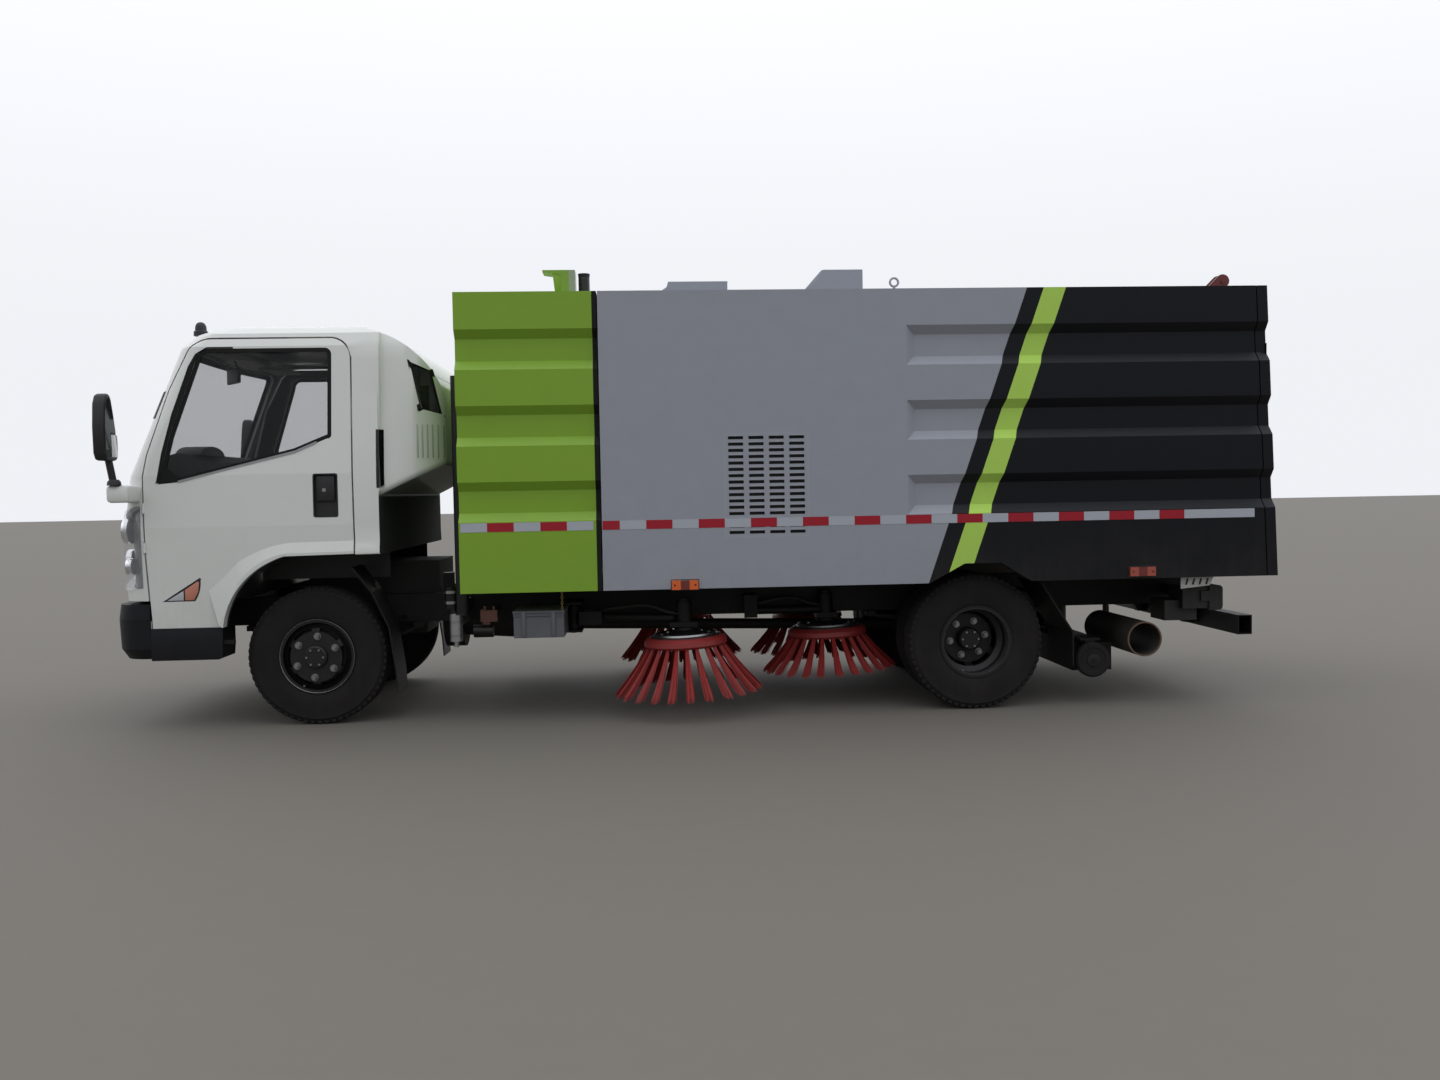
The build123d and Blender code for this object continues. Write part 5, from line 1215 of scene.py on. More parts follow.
# For each kind of brush: place of its axis, radius at the tips and their height, and random seed
BRUSHES = {"outer": {"place": (REAR_AXLE_X - 1.688, 0.800), "radius": 0.417, "tip": 0.122, "seed": 5},
           "inner": {"place": (REAR_AXLE_X - 0.802, 0.470), "radius": 0.393, "tip": 0.190, "seed": 11}}
STRAND_STEPS = 4
STRAND_RADIUS = 0.0021
CARRIER_PROFILE = ((0.0, -0.012), (0.180, -0.014), (0.212, -0.040), (0.226, -0.044), (0.244, -0.030),
                   (0.240, -0.004), (0.222, 0.013), (0.205, 0.015), (0.0, 0.015))
RING_PROFILE = ((0.120, 0.014), (0.206, 0.014), (0.208, 0.020), (0.200, 0.024), (0.188, 0.024),
                (0.184, 0.034), (0.170, 0.037), (0.164, 0.033), (0.160, 0.024), (0.120, 0.026),
                (0.120, 0.014))
BOSS_PROFILE = ((0.0, 0.014), (0.122, 0.014), (0.116, 0.024), (0.082, 0.048), (0.064, 0.052), (0.060, 0.064),
                (0.0, 0.064))
BRUSH_BOLT_CIRCLE = 0.140
BRUSH_BOLT_ENDS = (0.024, 0.034)


def step_lean(step):
    """How far out one length of a bristle leans; later lengths lean more."""
    return (0.75 + 0.5 * (step + 1) / STRAND_STEPS) / STRAND_STEPS


def strand():
    """One bristle, one metre long and square in section, bending outwards towards its tip."""
    clear_selection()
    bpy.ops.mesh.primitive_circle_add(vertices=4, radius=STRAND_RADIUS, fill_type="NGON")
    piece = settled("strand")

    def grow():
        for step in range(STRAND_STEPS):
            move = (step_lean(step), 0, -1 / STRAND_STEPS)
            bpy.ops.mesh.extrude_region_move(TRANSFORM_OT_translate={"value": move})
    edit(grow, outwards)
    return piece


def bristle_bend(share):
    """How far out a bristle has leant at a share of its length, as the strand is grown."""
    parts = [min(1.0, max(0.0, share * STRAND_STEPS - step)) for step in range(STRAND_STEPS)]
    return sum(part * step_lean(step) for step, part in enumerate(parts))


def bristle_ring(name, place, brush):
    """All the tufts of one brush."""
    rng = random.Random(brush["seed"])
    disc_z = BRUSH_DISC_Z - 0.011
    source = strand()
    strands = []
    for i in range(sizes().strand_count):
        row = rng.uniform(-1, 1)
        depth = rng.uniform(-1, 1)
        spread_out = row * 0.019 + rng.gauss(0, 0.003)
        length_share = rng.uniform(0.90, 1.0)
        run = (brush["radius"] - BRUSH_ROOT + depth * 0.016) * length_share / bristle_bend(1.0)
        drop = (disc_z - brush["tip"] - 0.004) * length_share
        slim = copy_of(source, Matrix.Identity(4))
        for vertex in slim.data.vertices:
            share = -vertex.co.z
            bend = bristle_bend(share)
            vertex.co = (bend * run + vertex.co.x - bend, vertex.co.y + (spread_out - row * 0.006) * share,
                         vertex.co.z * drop)
        slim.data.transform(Matrix.Translation((BRUSH_ROOT + depth * 0.006, row * 0.006, disc_z)))
        strands.append(slim)
    bpy.data.objects.remove(source)
    tuft = joined(name, strands)
    tufts = []
    for i in range(sizes().tuft_count):
        angle = math.tau * (i + rng.uniform(-0.06, 0.06)) / sizes().tuft_count
        tufts.append(copy_of(tuft, Matrix.Translation(place) @ Matrix.Rotation(angle, 4, "Z")))
    bpy.data.objects.remove(tuft)
    return joined(name, tufts)


class SWEEPER_OT_brushes(Operator):
    """Makes the four brushes: red carriers, bright rings and bristles in tufts"""
    bl_idname = "sweeper.brushes"
    bl_label = "Brushes"

    def execute(self, context):
        for kind, brush in BRUSHES.items():
            for side, s in SIDES:
                node = kind + "_brush_" + side
                x, y = brush["place"][0], s * brush["place"][1]
                top = (x, y, BRUSH_DISC_Z)
                bristles = bristle_ring("bristles_" + node, (x, y, 0), brush)
                carrier = turned("carrier_" + node, CARRIER_PROFILE, top, UP, 64)
                ring = turned("ring_" + node, RING_PROFILE, top, UP, 64)
                boss = turned("boss_" + node, BOSS_PROFILE, top, UP, 48)
                start, end = [(x + BRUSH_BOLT_CIRCLE, y, BRUSH_DISC_Z + z) for z in BRUSH_BOLT_ENDS]
                bolts = ring_of(rod("bolts_" + node, start, end, 0.011, 6), 8, top, UP)
                for piece in (bristles, carrier, ring, boss, bolts):
                    piece.data.transform(turn_about(top, ACROSS, BRUSH_TILT))
                fitted(bristles, node, bristle_red(), [node], 0)
                for piece, slot, maker in ((carrier, "bristles", hub_red),
                                           (ring, "wheel_steel", bright_steel),
                                           (boss, "frame_paint", chassis_black),
                                           (bolts, "wheel_steel", bright_steel)):
                    fitted(piece, node, maker())
        return {"FINISHED"}


# Cab windows

WINDOW_EDGE = ((-0.822, 1.398), (-0.817, 1.412), (-0.790, 1.565), (-0.737, 1.777), (-0.645, 2.050),
               (-0.606, 2.120), (-0.545, 2.157), (-0.400, 2.157), (-0.400, 2.149), (-0.550, 2.149),
               (-0.590, 2.121), (-0.604, 2.080), (-0.745, 1.660), (-0.806, 1.398))
WINDOW_SILL = ((-0.700, 1.398), (-0.060, 1.556), (0.060, 1.608), (0.060, 1.620), (-0.060, 1.569),
               (-0.700, 1.411))
WINDOW_CORNER = ((-0.803, 1.397), (-0.779, 1.496), (-0.690, 1.420), (-0.700, 1.406))
QUARTER_FRAME = ((0.556, 2.082), (0.688, 2.028), (0.735, 1.760), (0.610, 1.786))
ARCH_LINER = ((-0.40, 0.825), (0.37, 0.825), (0.37, 1.000), (-0.40, 1.000))
ARCH_LINER_SIDE = 0.600
AIR_RIBS = 6
AIR_RIB_PITCH = 0.0245


def side_sheet(name, line, start, thickness, bevel=0.0):
    """A sheet on the cab's side; start is how far out of the cab's surface it begins."""
    return wrapped(plate(name, side_face(line, start), (0, thickness, 0), bevel), cab_side)


def side_frame(name, line, start, width, thickness, place=cab_side):
    """The same as a frame that follows the inside of the outline."""
    return wrapped(hoop(name, side_face(line, start), width, (0, thickness, 0)), place)


class SWEEPER_OT_cab_windows(Operator):
    """Narrows the cab behind its doors and puts seals and sills round its windows"""
    bl_idname = "sweeper.cab_windows"
    bl_label = "Cab windows"

    def execute(self, context):
        for node, name, slot, maker in (("cab_shell", "cab_skin", "white_paint", cab_white),
                                        ("cab_glass", "cab_panes", "window_glass", window_glass)):
            fitted(recut(node, name), "cab", maker(), [node], 28)
        liner = [(FRONT_AXLE_X + x, -ARCH_LINER_SIDE, z) for x, z in ARCH_LINER]
        start = FRONT_AXLE_X + 0.600
        rib = block("air_ribs", (start, start + 0.008), (0, 0.007), (1.520, 1.712), 0.003)
        moves = [Matrix.Translation((AIR_RIB_PITCH * i, 0, 0)) for i in range(1, AIR_RIBS)]
        ribs = joined("air_ribs", [rib] + [copy_of(rib, move) for move in moves])
        edge = side_sheet("window_edge", WINDOW_EDGE, 0.0006, 0.0024)
        arch = plate("arch_liner", liner, (0, 0.003, 0))
        seal = side_frame("window_seal", WINDOW_LINE, -0.0104, 0.022, 0.0094)
        sill = side_sheet("window_sill", WINDOW_SILL, 0.0004, 0.0036)
        corner = side_sheet("window_corner", WINDOW_CORNER, -0.0090, 0.0092)
        quarter = side_frame("quarter_frame", QUARTER_FRAME, 0.0004, 0.020, 0.0050, extension_side)
        fit_pairs(((edge, "door_SIDE", "seal_rubber", seal_rubber),
                   (arch, "cab", "black_plastic", lamp_body),
                   (seal, "door_SIDE", "seal_rubber", seal_rubber),
                   (sill, "door_SIDE", "lamp_glass", galvanised),
                   (corner, "door_SIDE", "seal_rubber", seal_rubber),
                   (quarter, "cab", "seal_rubber", seal_rubber),
                   # The air ribs get painted shade and a painted green reflection instead of the cab's white.
                   (wrapped(ribs, extension_side), "cab", "white_paint", painted_shade_and_reflection)))
        return {"FINISHED"}


# Cab front

# Lamp bowls of the left headlamp: distance from the middle, height and radius
LAMP_BOWLS = ((0.845, 1.135, 0.070), (0.800, 0.965, 0.060), (0.905, 0.935, 0.045))
# A bowl's profile: share of its radius, and metres out of the cab's surface
BOWL_PROFILE = ((0.0, -0.030), (0.55, -0.026), (0.86, -0.014), (1.0, -0.001), (1.06, -0.002), (1.06, -0.033),
                (0.0, -0.034))
BULB_ENDS = (0.026, 0.006)
BULB_SHARE = 0.22
# Sheets across the cab's front: start, thickness, steps, then half width and height of both edges
FRONT_SHEETS = {"cowl": (0.0006, 0.006, 12, (0.80, 1.372), (0.80, 1.426)),
                "grille_backing": (-0.0295, 0.0020, 8, (0.51, 0.912), (0.535, 1.080)),
                "blank_plate": (0.001, 0.004, 6, (0.24, 0.755), (0.24, 0.885))}
WIPERS = (("left", -0.62, -0.06), ("right", 0.02, 0.58))
WIPER_BLADE_LENGTH = 0.62


def evenly(low, high, steps):
    """Equally spaced values from low to high."""
    return [low + (high - low) * i / steps for i in range(steps + 1)]


def screen_points(half, low, high, steps=14):
    """Outline of the windscreen as its bottom edge, its side, its top edge and its other side."""
    top_half = half - 0.050
    bottom = [(y, low) for y in evenly(0.05 - half, half - 0.05, steps)]
    right = [(half - 0.012, low + 0.008), (half, low + 0.030), (half - 0.025, (low + high) / 2),
             (top_half, high - 0.040), (top_half - 0.018, high - 0.010)]
    top = [(y, high) for y in evenly(top_half - 0.06, 0.06 - top_half, steps)]
    return bottom + right + top + [(-y, z) for y, z in reversed(right)]


def front_sheet(name):
    start, thickness, steps, (low_half, low), (high_half, high) = FRONT_SHEETS[name]
    line = [(start, y, low) for y in evenly(-low_half, low_half, steps)]
    line += [(start, y, high) for y in evenly(high_half, -high_half, steps)]
    return wrapped(plate(name, line, (thickness, 0, 0)), cab_front)


def wiper(side, y0, y1):
    """Arm, pivot and blade lying on the windscreen."""
    arm_line = [cab_front(Vector((0.010 + 0.014 * t, y0 + (y1 - y0) * t, 1.40 + 0.09 * t)))
                for t in evenly(0, 1, 6)]
    blade_line = [cab_front(Vector((0.008, y0 + 0.10 + WIPER_BLADE_LENGTH * t, 1.470 + 0.040 * t)))
                  for t in evenly(0, 1, 10)]
    foot = arm_line[0]
    arm = pipe("wiper_arm_" + side, arm_line, 0.006)
    pivot = rod("pivot", foot + Vector((0.012, 0, 0)), foot + Vector((-0.008, 0, 0)), 0.013, 16)
    return joined("wiper_" + side, [arm, pivot, pipe("blade", blade_line, 0.007, sides=2)])


class SWEEPER_OT_cab_front(Operator):
    """Dresses the cab's front: windscreen seal, wipers, cowl, lamps and blank plate"""
    bl_idname = "sweeper.cab_front"
    bl_label = "Cab front"

    def execute(self, context):
        outline = [(-0.0104, y, z) for y, z in screen_points(0.850, 1.434, 2.160)]
        seal = wrapped(hoop("screen_seal", outline, 0.030, (0.0094, 0, 0)), cab_front)
        fitted(seal, "cab", seal_rubber())
        fitted(front_sheet("cowl"), "cab", black_plastic())
        for row in WIPERS:
            fitted(wiper(*row), "cab", black_plastic())
        fitted(front_sheet("grille_backing"), "cab", black_plastic())
        fitted(front_sheet("blank_plate"), "cab", plain_plate())
        for side, s in SIDES:
            bowls = []
            for y, z, radius in LAMP_BOWLS:
                spot = cab_front(Vector((-0.004, s * y, z)))
                profile = [(radius * share, out) for share, out in BOWL_PROFILE]
                bowls.append(turned("bowl", profile, spot, (-1, 0, 0), 32))
                start, end = [spot + Vector((x, 0, 0)) for x in BULB_ENDS]
                bowls.append(rod("bulb", start, end, radius * BULB_SHARE, 16))
            fitted(joined("lamp_bowls_" + side, bowls), "cab", lamp_reflector())
        return {"FINISHED"}


# Cab sides

TURN_LAMP_CLEAR = ((-0.785, 0.7415), (-0.694, 0.7955), (-0.694, 0.7415))
TURN_LAMP_AMBER = ((-0.686, 0.7415), (-0.686, 0.8005), (-0.616, 0.8460), (-0.607, 0.842), (-0.613, 0.790),
                   (-0.637, 0.7425))
PILLAR_STRIP = ((0.842, 1.766), (0.882, 1.766), (0.868, 1.916), (0.828, 1.916))
ROOF_LAMP_PROFILE = ((0.0, -0.010), (0.040, -0.010), (0.039, 0.014), (0.032, 0.022), (0.030, 0.046),
                     (0.022, 0.062), (0.010, 0.069), (0.0, 0.070))
MIRROR_X = FRONT_AXLE_X - 1.040
MIRROR_THICKNESS = 0.066
MIRROR_GLASS_LINE = ((1.224, 1.580), (1.226, 1.700), (1.214, 1.815), (1.196, 1.852), (1.168, 1.862),
                     (1.148, 1.848), (1.125, 1.770), (1.102, 1.674), (1.168, 1.674), (1.168, 1.580))
MIRROR_BOOT_PROFILE = ((0.0, 0.0), (0.037, 0.0), (0.034, 0.020), (0.024, 0.032), (0.0, 0.032))
STEP_PANEL = ((-0.882, 0.586), (-0.882, 0.405), (-0.520, 0.405), ((-0.500, 0.412), (-0.492, 0.430)),
              (-0.486, 0.586))


def door_handle():
    """The recess's liner and rim with the lever in it."""
    x0 = FRONT_AXLE_X
    liner = plate("handle_liner", side_face(POCKET_LINE, -0.0236), (0, 0.0030, 0))
    rim = hoop("rim", side_face(POCKET_LINE, -0.0206), 0.0060, (0, 0.0216, 0))
    lever = block("lever", (x0 + 0.054, x0 + 0.154), (-0.0185, -0.0050), (1.284, 1.424), 0.004)
    return wrapped(joined("handle", [liner, rim, lever]), cab_side)


def mirror_body_parts(s):
    """Head, stem and foot of the mirror on one side."""
    x = MIRROR_X
    head = plate("head", [(x, s * y, z) for y, z in MIRROR_LINE], (MIRROR_THICKNESS, 0, 0), 0.015)
    stem = rod("stem", (x + 0.036, s * 1.130, 1.530), (x + 0.052, s * 1.118, 1.405), 0.019, 20)
    foot = block("foot", (x + 0.012, x + 0.135), sorted((s * 0.840, s * 1.135)), (1.294, 1.389), 0.022)
    return [head, stem, foot]


class SWEEPER_OT_cab_side_trim(Operator):
    """Dresses the cab's sides: door handles, turn lamps, vents, mirrors and roof lamps"""
    bl_idname = "sweeper.cab_side_trim"
    bl_label = "Cab side trim"

    def execute(self, context):
        x0 = FRONT_AXLE_X
        lock = rod("door_lock", (x0 + 0.096, -0.006, 1.345), (x0 + 0.096, -0.002, 1.345), 0.011, 16)
        vent = block("vent_insert", (x0 + 0.3875, x0 + 0.4015), (-0.0135, -0.0020), (1.352, 1.680), 0.002)
        strip = plate("pillar_strip", [(0.0006, -y, z) for y, z in PILLAR_STRIP], (0.005, 0, 0))
        panel_y = -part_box("front_bumper")[1].y - 0.001
        panel = plate("step_panel", side_face(STEP_PANEL, panel_y), (0, 0.006, 0), 0.002)
        housing = side_sheet("turn_lamp_housing", TURN_LAMP_LINE, -0.0096, 0.0090)
        clear = side_sheet("turn_lamp_clear", TURN_LAMP_CLEAR, -0.0020, 0.0050, 0.0012)
        amber = side_sheet("turn_lamp_amber", TURN_LAMP_AMBER, -0.0020, 0.0050, 0.0012)
        fit_pairs(((door_handle(), "door_SIDE", "black_plastic", black_plastic),
                   (wrapped(lock, cab_side), "door_SIDE", "wheel_steel", bright_steel),
                   (housing, "door_SIDE", "black_plastic", black_plastic),
                   (clear, "door_SIDE", "lamp_glass", clear_trim),
                   (amber, "door_SIDE", "lamp_glass", pink_amber),
                   (wrapped(vent, cab_side), "cab", "black_plastic", black_plastic),
                   (wrapped(strip, cab_front), "cab", "black_plastic", black_plastic),
                   (panel, "chassis", "black_plastic", dark_trim)))
        roof = cab_side(Vector((x0 - 0.645, -0.20, 2.252)))
        mirrors = []
        for side, s in SIDES:
            lamp = turned("roof_lamp_" + side, ROOF_LAMP_PROFILE, (roof.x, s * 0.70, roof.z + 0.004), UP, 32)
            boot = turned("mirror_boot_" + side, MIRROR_BOOT_PROFILE, (x0 - 0.984, s * 1.118, 1.3885), UP, 24)
            mirrors += mirror_body_parts(s)
            x = MIRROR_X + MIRROR_THICKNESS - 0.0005
            line = [(x, s * y, z) for y, z in MIRROR_GLASS_LINE]
            upper = plate("mirror_glass_" + side, line, (0.0025, 0, 0))
            lower = block("small_mirror_glass_" + side, (x, x + 0.0025), sorted((s * 1.083, s * 1.158)),
                          (1.542, 1.662), 0.001)
            fitted(lamp, "cab", black_plastic())
            fitted(boot, "cab", black_plastic())
            fitted(upper, "cab", dark_mirror())
            fitted(lower, "cab", mirror_glass())
        fitted(joined("mirror_heads", mirrors), "cab", mirror_body(), ["mirrors"])
        return {"FINISHED"}


# Cab inside

# Outlines of the inner mirror seen from above, and of the dash pad seen from the side
INNER_MIRROR = ((-0.775, 0.075), (-0.758, 0.092), (-0.635, -0.068), (-0.652, -0.085))
DASH_PAD = ((-0.95, 1.40), (-0.95, 1.44), (-0.925, 1.50), (-0.860, 1.560), (-0.790, 1.578), (-0.735, 1.572),
            (-0.695, 1.530), (-0.690, 1.40))
DASH_HALF = 0.72
GEAR_LEVER = ((-0.560, 1.10), (-0.540, 1.22), (-0.50, 1.34))
GEAR_LEVER_Y = -0.06
GEAR_BOOT_PROFILE = ((0.0, 0.0), (0.070, 0.0), (0.045, 0.05), (0.020, 0.09), (0.0, 0.09))
DRIVER_Y = -0.470
HOOD_SIZE = (0.20, 0.060)


def gear_lever():
    """Boot, lever and knob beside the driver's seat."""
    x0, y = FRONT_AXLE_X, GEAR_LEVER_Y
    boot = turned("boot", GEAR_BOOT_PROFILE, (x0 - 0.560, y, 1.050), UP, 24)
    lever = pipe("lever", [(x0 + x, y, z) for x, z in GEAR_LEVER], 0.008)
    bpy.ops.mesh.primitive_uv_sphere_add(segments=20, ring_count=12, radius=0.026,
                                         location=(x0 - 0.498, y, 1.352))
    return joined("gear_lever", [boot, lever, settled("knob")])


class SWEEPER_OT_cab_inside(Operator):
    """Furnishes the cab: inner mirror, dash pad, sun visors, gear lever and instrument hood"""
    bl_idname = "sweeper.cab_inside"
    bl_label = "Cab inside"

    def execute(self, context):
        x0 = FRONT_AXLE_X
        stem = rod("stem", (x0 - 0.700, 0.0, 2.200), (x0 - 0.660, 0.0, 2.090), 0.007, 12)
        head = plate("head", [(x0 + x, y, 2.035) for x, y in INNER_MIRROR], (0, 0, 0.100), 0.008)
        pad = plate("dash_pad", [(x0 + x, -DASH_HALF, z) for x, z in DASH_PAD], (0, 2 * DASH_HALF, 0), 0.010)
        fitted(pad, "cab", interior_trim())
        fitted(joined("inner_mirror", [head, stem]), "cab", black_plastic())
        for side, s in SIDES:
            y = -s * DRIVER_Y
            visor = block("sun_visor_" + side, (x0 - 0.640, x0 - 0.470), (y - 0.19, y + 0.19),
                          (2.150, 2.168), 0.008)
            fitted(visor, "cab", interior_light())
        fitted(gear_lever(), "cab", interior_trim())
        half, rise = HOOD_SIZE
        arch = [(x0 - 0.830, DRIVER_Y - half * math.cos(angle), 1.560 + rise * math.sin(angle))
                for angle in evenly(0, math.pi, 10)]
        fitted(plate("instrument_hood", arch, (0.150, 0, 0), 0.006), "cab", interior_trim())
        return {"FINISHED"}


# Seats

# Each seat: name, middle, half width and places of its headrests from its middle
SEATS = (("driver", DRIVER_Y, 0.250, (0.0,)), ("bench", 0.350, 0.430, (-0.215, 0.215)))
SEAT_BACK = ((0.074, 1.325), (0.176, 1.325), (0.274, 1.826), (0.204, 1.832))
STUFFING_VOXEL = 0.013
STUFFING_FRAMES = 20
CUSHION_SWELL = 0.012
HEADREST_SWELL = 0.010


def stuffed(piece, cap):
    """Fills a cushion: its cover swells by cloth simulation and no point moves further than the cap."""
    pick(piece)
    piece.data.remesh_voxel_size = STUFFING_VOXEL
    bpy.ops.object.voxel_remesh()
    scene = bpy.context.scene
    rest = [vertex.co.copy() for vertex in piece.data.vertices]
    cloth = piece.modifiers.new("filling", "CLOTH")
    cloth.settings.use_pressure = True
    cloth.settings.uniform_pressure_force = 4
    cloth.settings.effector_weights.gravity = 0
    for number in range(1, STUFFING_FRAMES + 1):
        scene.frame_set(number)
    bpy.ops.object.modifier_apply(modifier=cloth.name)
    for vertex, place in zip(piece.data.vertices, rest):
        move = vertex.co - place
        if move.length > cap:
            vertex.co = place + move * (cap / move.length)
    scene.frame_set(1)
    smooth = piece.modifiers.new("smooth", "SUBSURF")
    smooth.levels = 1
    bpy.ops.object.modifier_apply(modifier=smooth.name)
    return piece


class SWEEPER_OT_seats(Operator):
    """Makes the driver's seat and the bench: bases, cushions, backs and headrests"""
    bl_idname = "sweeper.seats"
    bl_label = "Seats"

    def execute(self, context):
        x0 = FRONT_AXLE_X
        bases = []
        for name, y, half, heads in SEATS:
            bases.append(block("base", (x0 - 0.325, x0 + 0.125), (y - half + 0.025, y + half - 0.025),
                               (1.036, 1.196), 0.012))
            cushion = block(name + "_cushion", (x0 - 0.345, x0 + 0.135), (y - half + 0.016, y + half - 0.016),
                            (1.196, 1.290), 0.020)
            back = plate(name + "_back", [(x0 + x, y - half + 0.026, z) for x, z in SEAT_BACK],
                         (0, 2 * half - 0.052, 0), 0.018)
            pads = [(cushion, CUSHION_SWELL), (back, CUSHION_SWELL)]
            for number, e in enumerate(heads):
                middle = y + e
                head = block("%s_headrest_%d" % (name, number + 1), (x0 + 0.217, x0 + 0.273),
                             (middle - 0.108, middle + 0.108), (1.868, 2.002), 0.016)
                pads.append((head, HEADREST_SWELL))
                for post_y in (middle - 0.05, middle + 0.05):
                    start, end = (x0 + 0.240, post_y, 1.800), (x0 + 0.245, post_y, 1.880)
                    bases.append(rod("post", start, end, 0.006, 12))
            for pad, cap in pads:
                fitted(stuffed(pad, cap), "cab", seat_cloth(), smooth=60)
        fitted(joined("seat_bases", bases), "cab", interior_trim(), ["seats"])
        return {"FINISHED"}


# Reflective tape

TAPE_LAST_RED = FRONT_AXLE_X + 5.02
TAPE_END = FRONT_AXLE_X + 5.400
TAPE_PHASE = FRONT_AXLE_X + 1.013
TAPE_SHORTEST = 0.020


def tape_strip(name, x0, x1, y, s):
    """Red and white lengths of tape between x0 and x1."""
    z = sizes().tape_level
    half = sizes().tape_height / 2
    run = sizes().tape_length
    reds, whites = [], []
    first = math.floor((x0 - TAPE_PHASE) / run)
    for i in range(first, first + int((x1 - x0) / run) + 3):
        low = max(x0, TAPE_PHASE + i * run)
        high = min(x1, TAPE_PHASE + (i + 1) * run)
        if high - low < TAPE_SHORTEST:
            continue
        piece = block("length", (low, high), sorted((y - s * 0.001, y + s * 0.0012)), (z - half, z + half))
        (reds if i % 2 == 0 and high < TAPE_LAST_RED else whites).append(piece)
    return joined(name + "_red", reds), joined(name + "_white", whites)


class SWEEPER_OT_tape(Operator):
    """Lays the red and white reflective tape along both sides"""
    bl_idname = "sweeper.tape"
    bl_label = "Reflective tape"

    def execute(self, context):
        runs = (("front_tape_", "chassis", BODY_FRONT + 0.004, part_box("seam_seal")[0].x),
                ("hopper_tape_", "hopper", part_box("hopper")[0].x + 0.003, TAPE_END))
        for side, s in SIDES:
            for name, body, x0, x1 in runs:
                red, white = tape_strip(name + side, x0, x1, s * BODY_SIDE, s)
                fitted(red, body, tape_red())
                fitted(white, body, tape_white())
        return {"FINISHED"}


# Body

LOUVRE_X = FRONT_AXLE_X + 2.340
LOUVRE_LOW = 1.040
LOUVRE_COLUMNS = 4
# The row left out has the tape over it
LOUVRE_ROWS = (0, *range(2, 16))
SLOT_PITCH = (0.1147, 0.0354)
LIP_START = (0.0305, 0.0363)
LIP_LENGTH = 0.070
RIM_MARGIN = 0.004
# The rim's corners as shares of the field, with its corners cut
RIM_SHARES = ((0.02, 0), (0.98, 0), (1, 0.02), (1, 0.98), (0.98, 1), (0.02, 1), (0, 0.98), (0, 0.02))


class SWEEPER_OT_louvres(Operator):
    """Backs the louvre slots with a black sheet of painted shade, and gives each its pressed lip and the
    field its rim
    """
    bl_idname = "sweeper.louvres"
    bl_label = "Louvres"

    def execute(self, context):
        low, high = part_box("louvre_panels")
        lip = rod("lips", (0, 0, 0), (LIP_LENGTH, 0, 0), 0.0030, 8)
        lips = []
        for column in range(LOUVRE_COLUMNS):
            for row in LOUVRE_ROWS:
                x = LOUVRE_X + LIP_START[0] + SLOT_PITCH[0] * column
                z = LOUVRE_LOW + LIP_START[1] + SLOT_PITCH[1] * row
                lips.append(copy_of(lip, Matrix.Translation((x, -BODY_SIDE + 0.0015, z))))
        bpy.data.objects.remove(lip)
        start_x, start_z = low.x - RIM_MARGIN, low.z - RIM_MARGIN
        wide, tall = high.x - low.x + 2 * RIM_MARGIN, high.z - low.z + 2 * RIM_MARGIN
        rim_line = [(start_x + x * wide, -BODY_SIDE - 0.0002, start_z + z * tall) for x, z in RIM_SHARES]
        rim = hoop("rim", rim_line, 0.012, (0, 0.0018, 0))
        y = -BODY_SIDE + 0.030
        corners = [(low.x, y, low.z), (high.x, y, low.z), (high.x, y, high.z), (low.x, y, high.z)]
        # The black sheet behind the slots is painted shade for the dark inside of the body.
        fit_pairs(((joined("louvre_lips", lips + [rim]), "hopper", "grey_paint", plain_grey),
                   (plate("louvre_shade_sheet", corners, (0, 0.004, 0)), "hopper", "black_plastic", lamp_body)))
        return {"FINISHED"}


# Marker lamps' bases: name, place along the truck and height
MARKER_BASES = (("front_marker_base", 2.107, 0.776), ("rear_marker_base", 4.735, 0.794))
CORNERS = ((-1, -1), (1, -1), (1, 1), (-1, 1))
PIPE_MOUTH_PROFILE = ((0.020, 2.520), (0.031, 2.520), (0.034, 2.548), (0.020, 2.548), (0.020, 2.520))
KEEPER_LEVELS = (1.05, 1.55, 2.05)
REAR_PLATE_LEVEL = 0.97
TAILGATE_LEAN = 0.066


def marker_base(name, x, z):
    """A lamp's base with its two screws."""
    middle = FRONT_AXLE_X + x
    line = [(middle + a * 0.080, -BODY_SIDE - 0.0002, z + b * 0.032) for a, b in CORNERS]
    pieces = [hoop("base", line, 0.0055, (0, 0.006, 0), 0.001)]
    for x in (middle - 0.058, middle + 0.058):
        pieces.append(rod("screw", (x, -BODY_SIDE + 0.001, z), (x, -BODY_SIDE - 0.020, z), 0.005, 12))
    return joined(name, pieces)


def rear_face(z):
    """The rear face of the tailgate leans forward towards its top."""
    share = min(1.0, max(0.0, (z - BODY_LOW) / (BODY_TOP - BODY_LOW)))
    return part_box("tailgate")[1].x - TAILGATE_LEAN * share


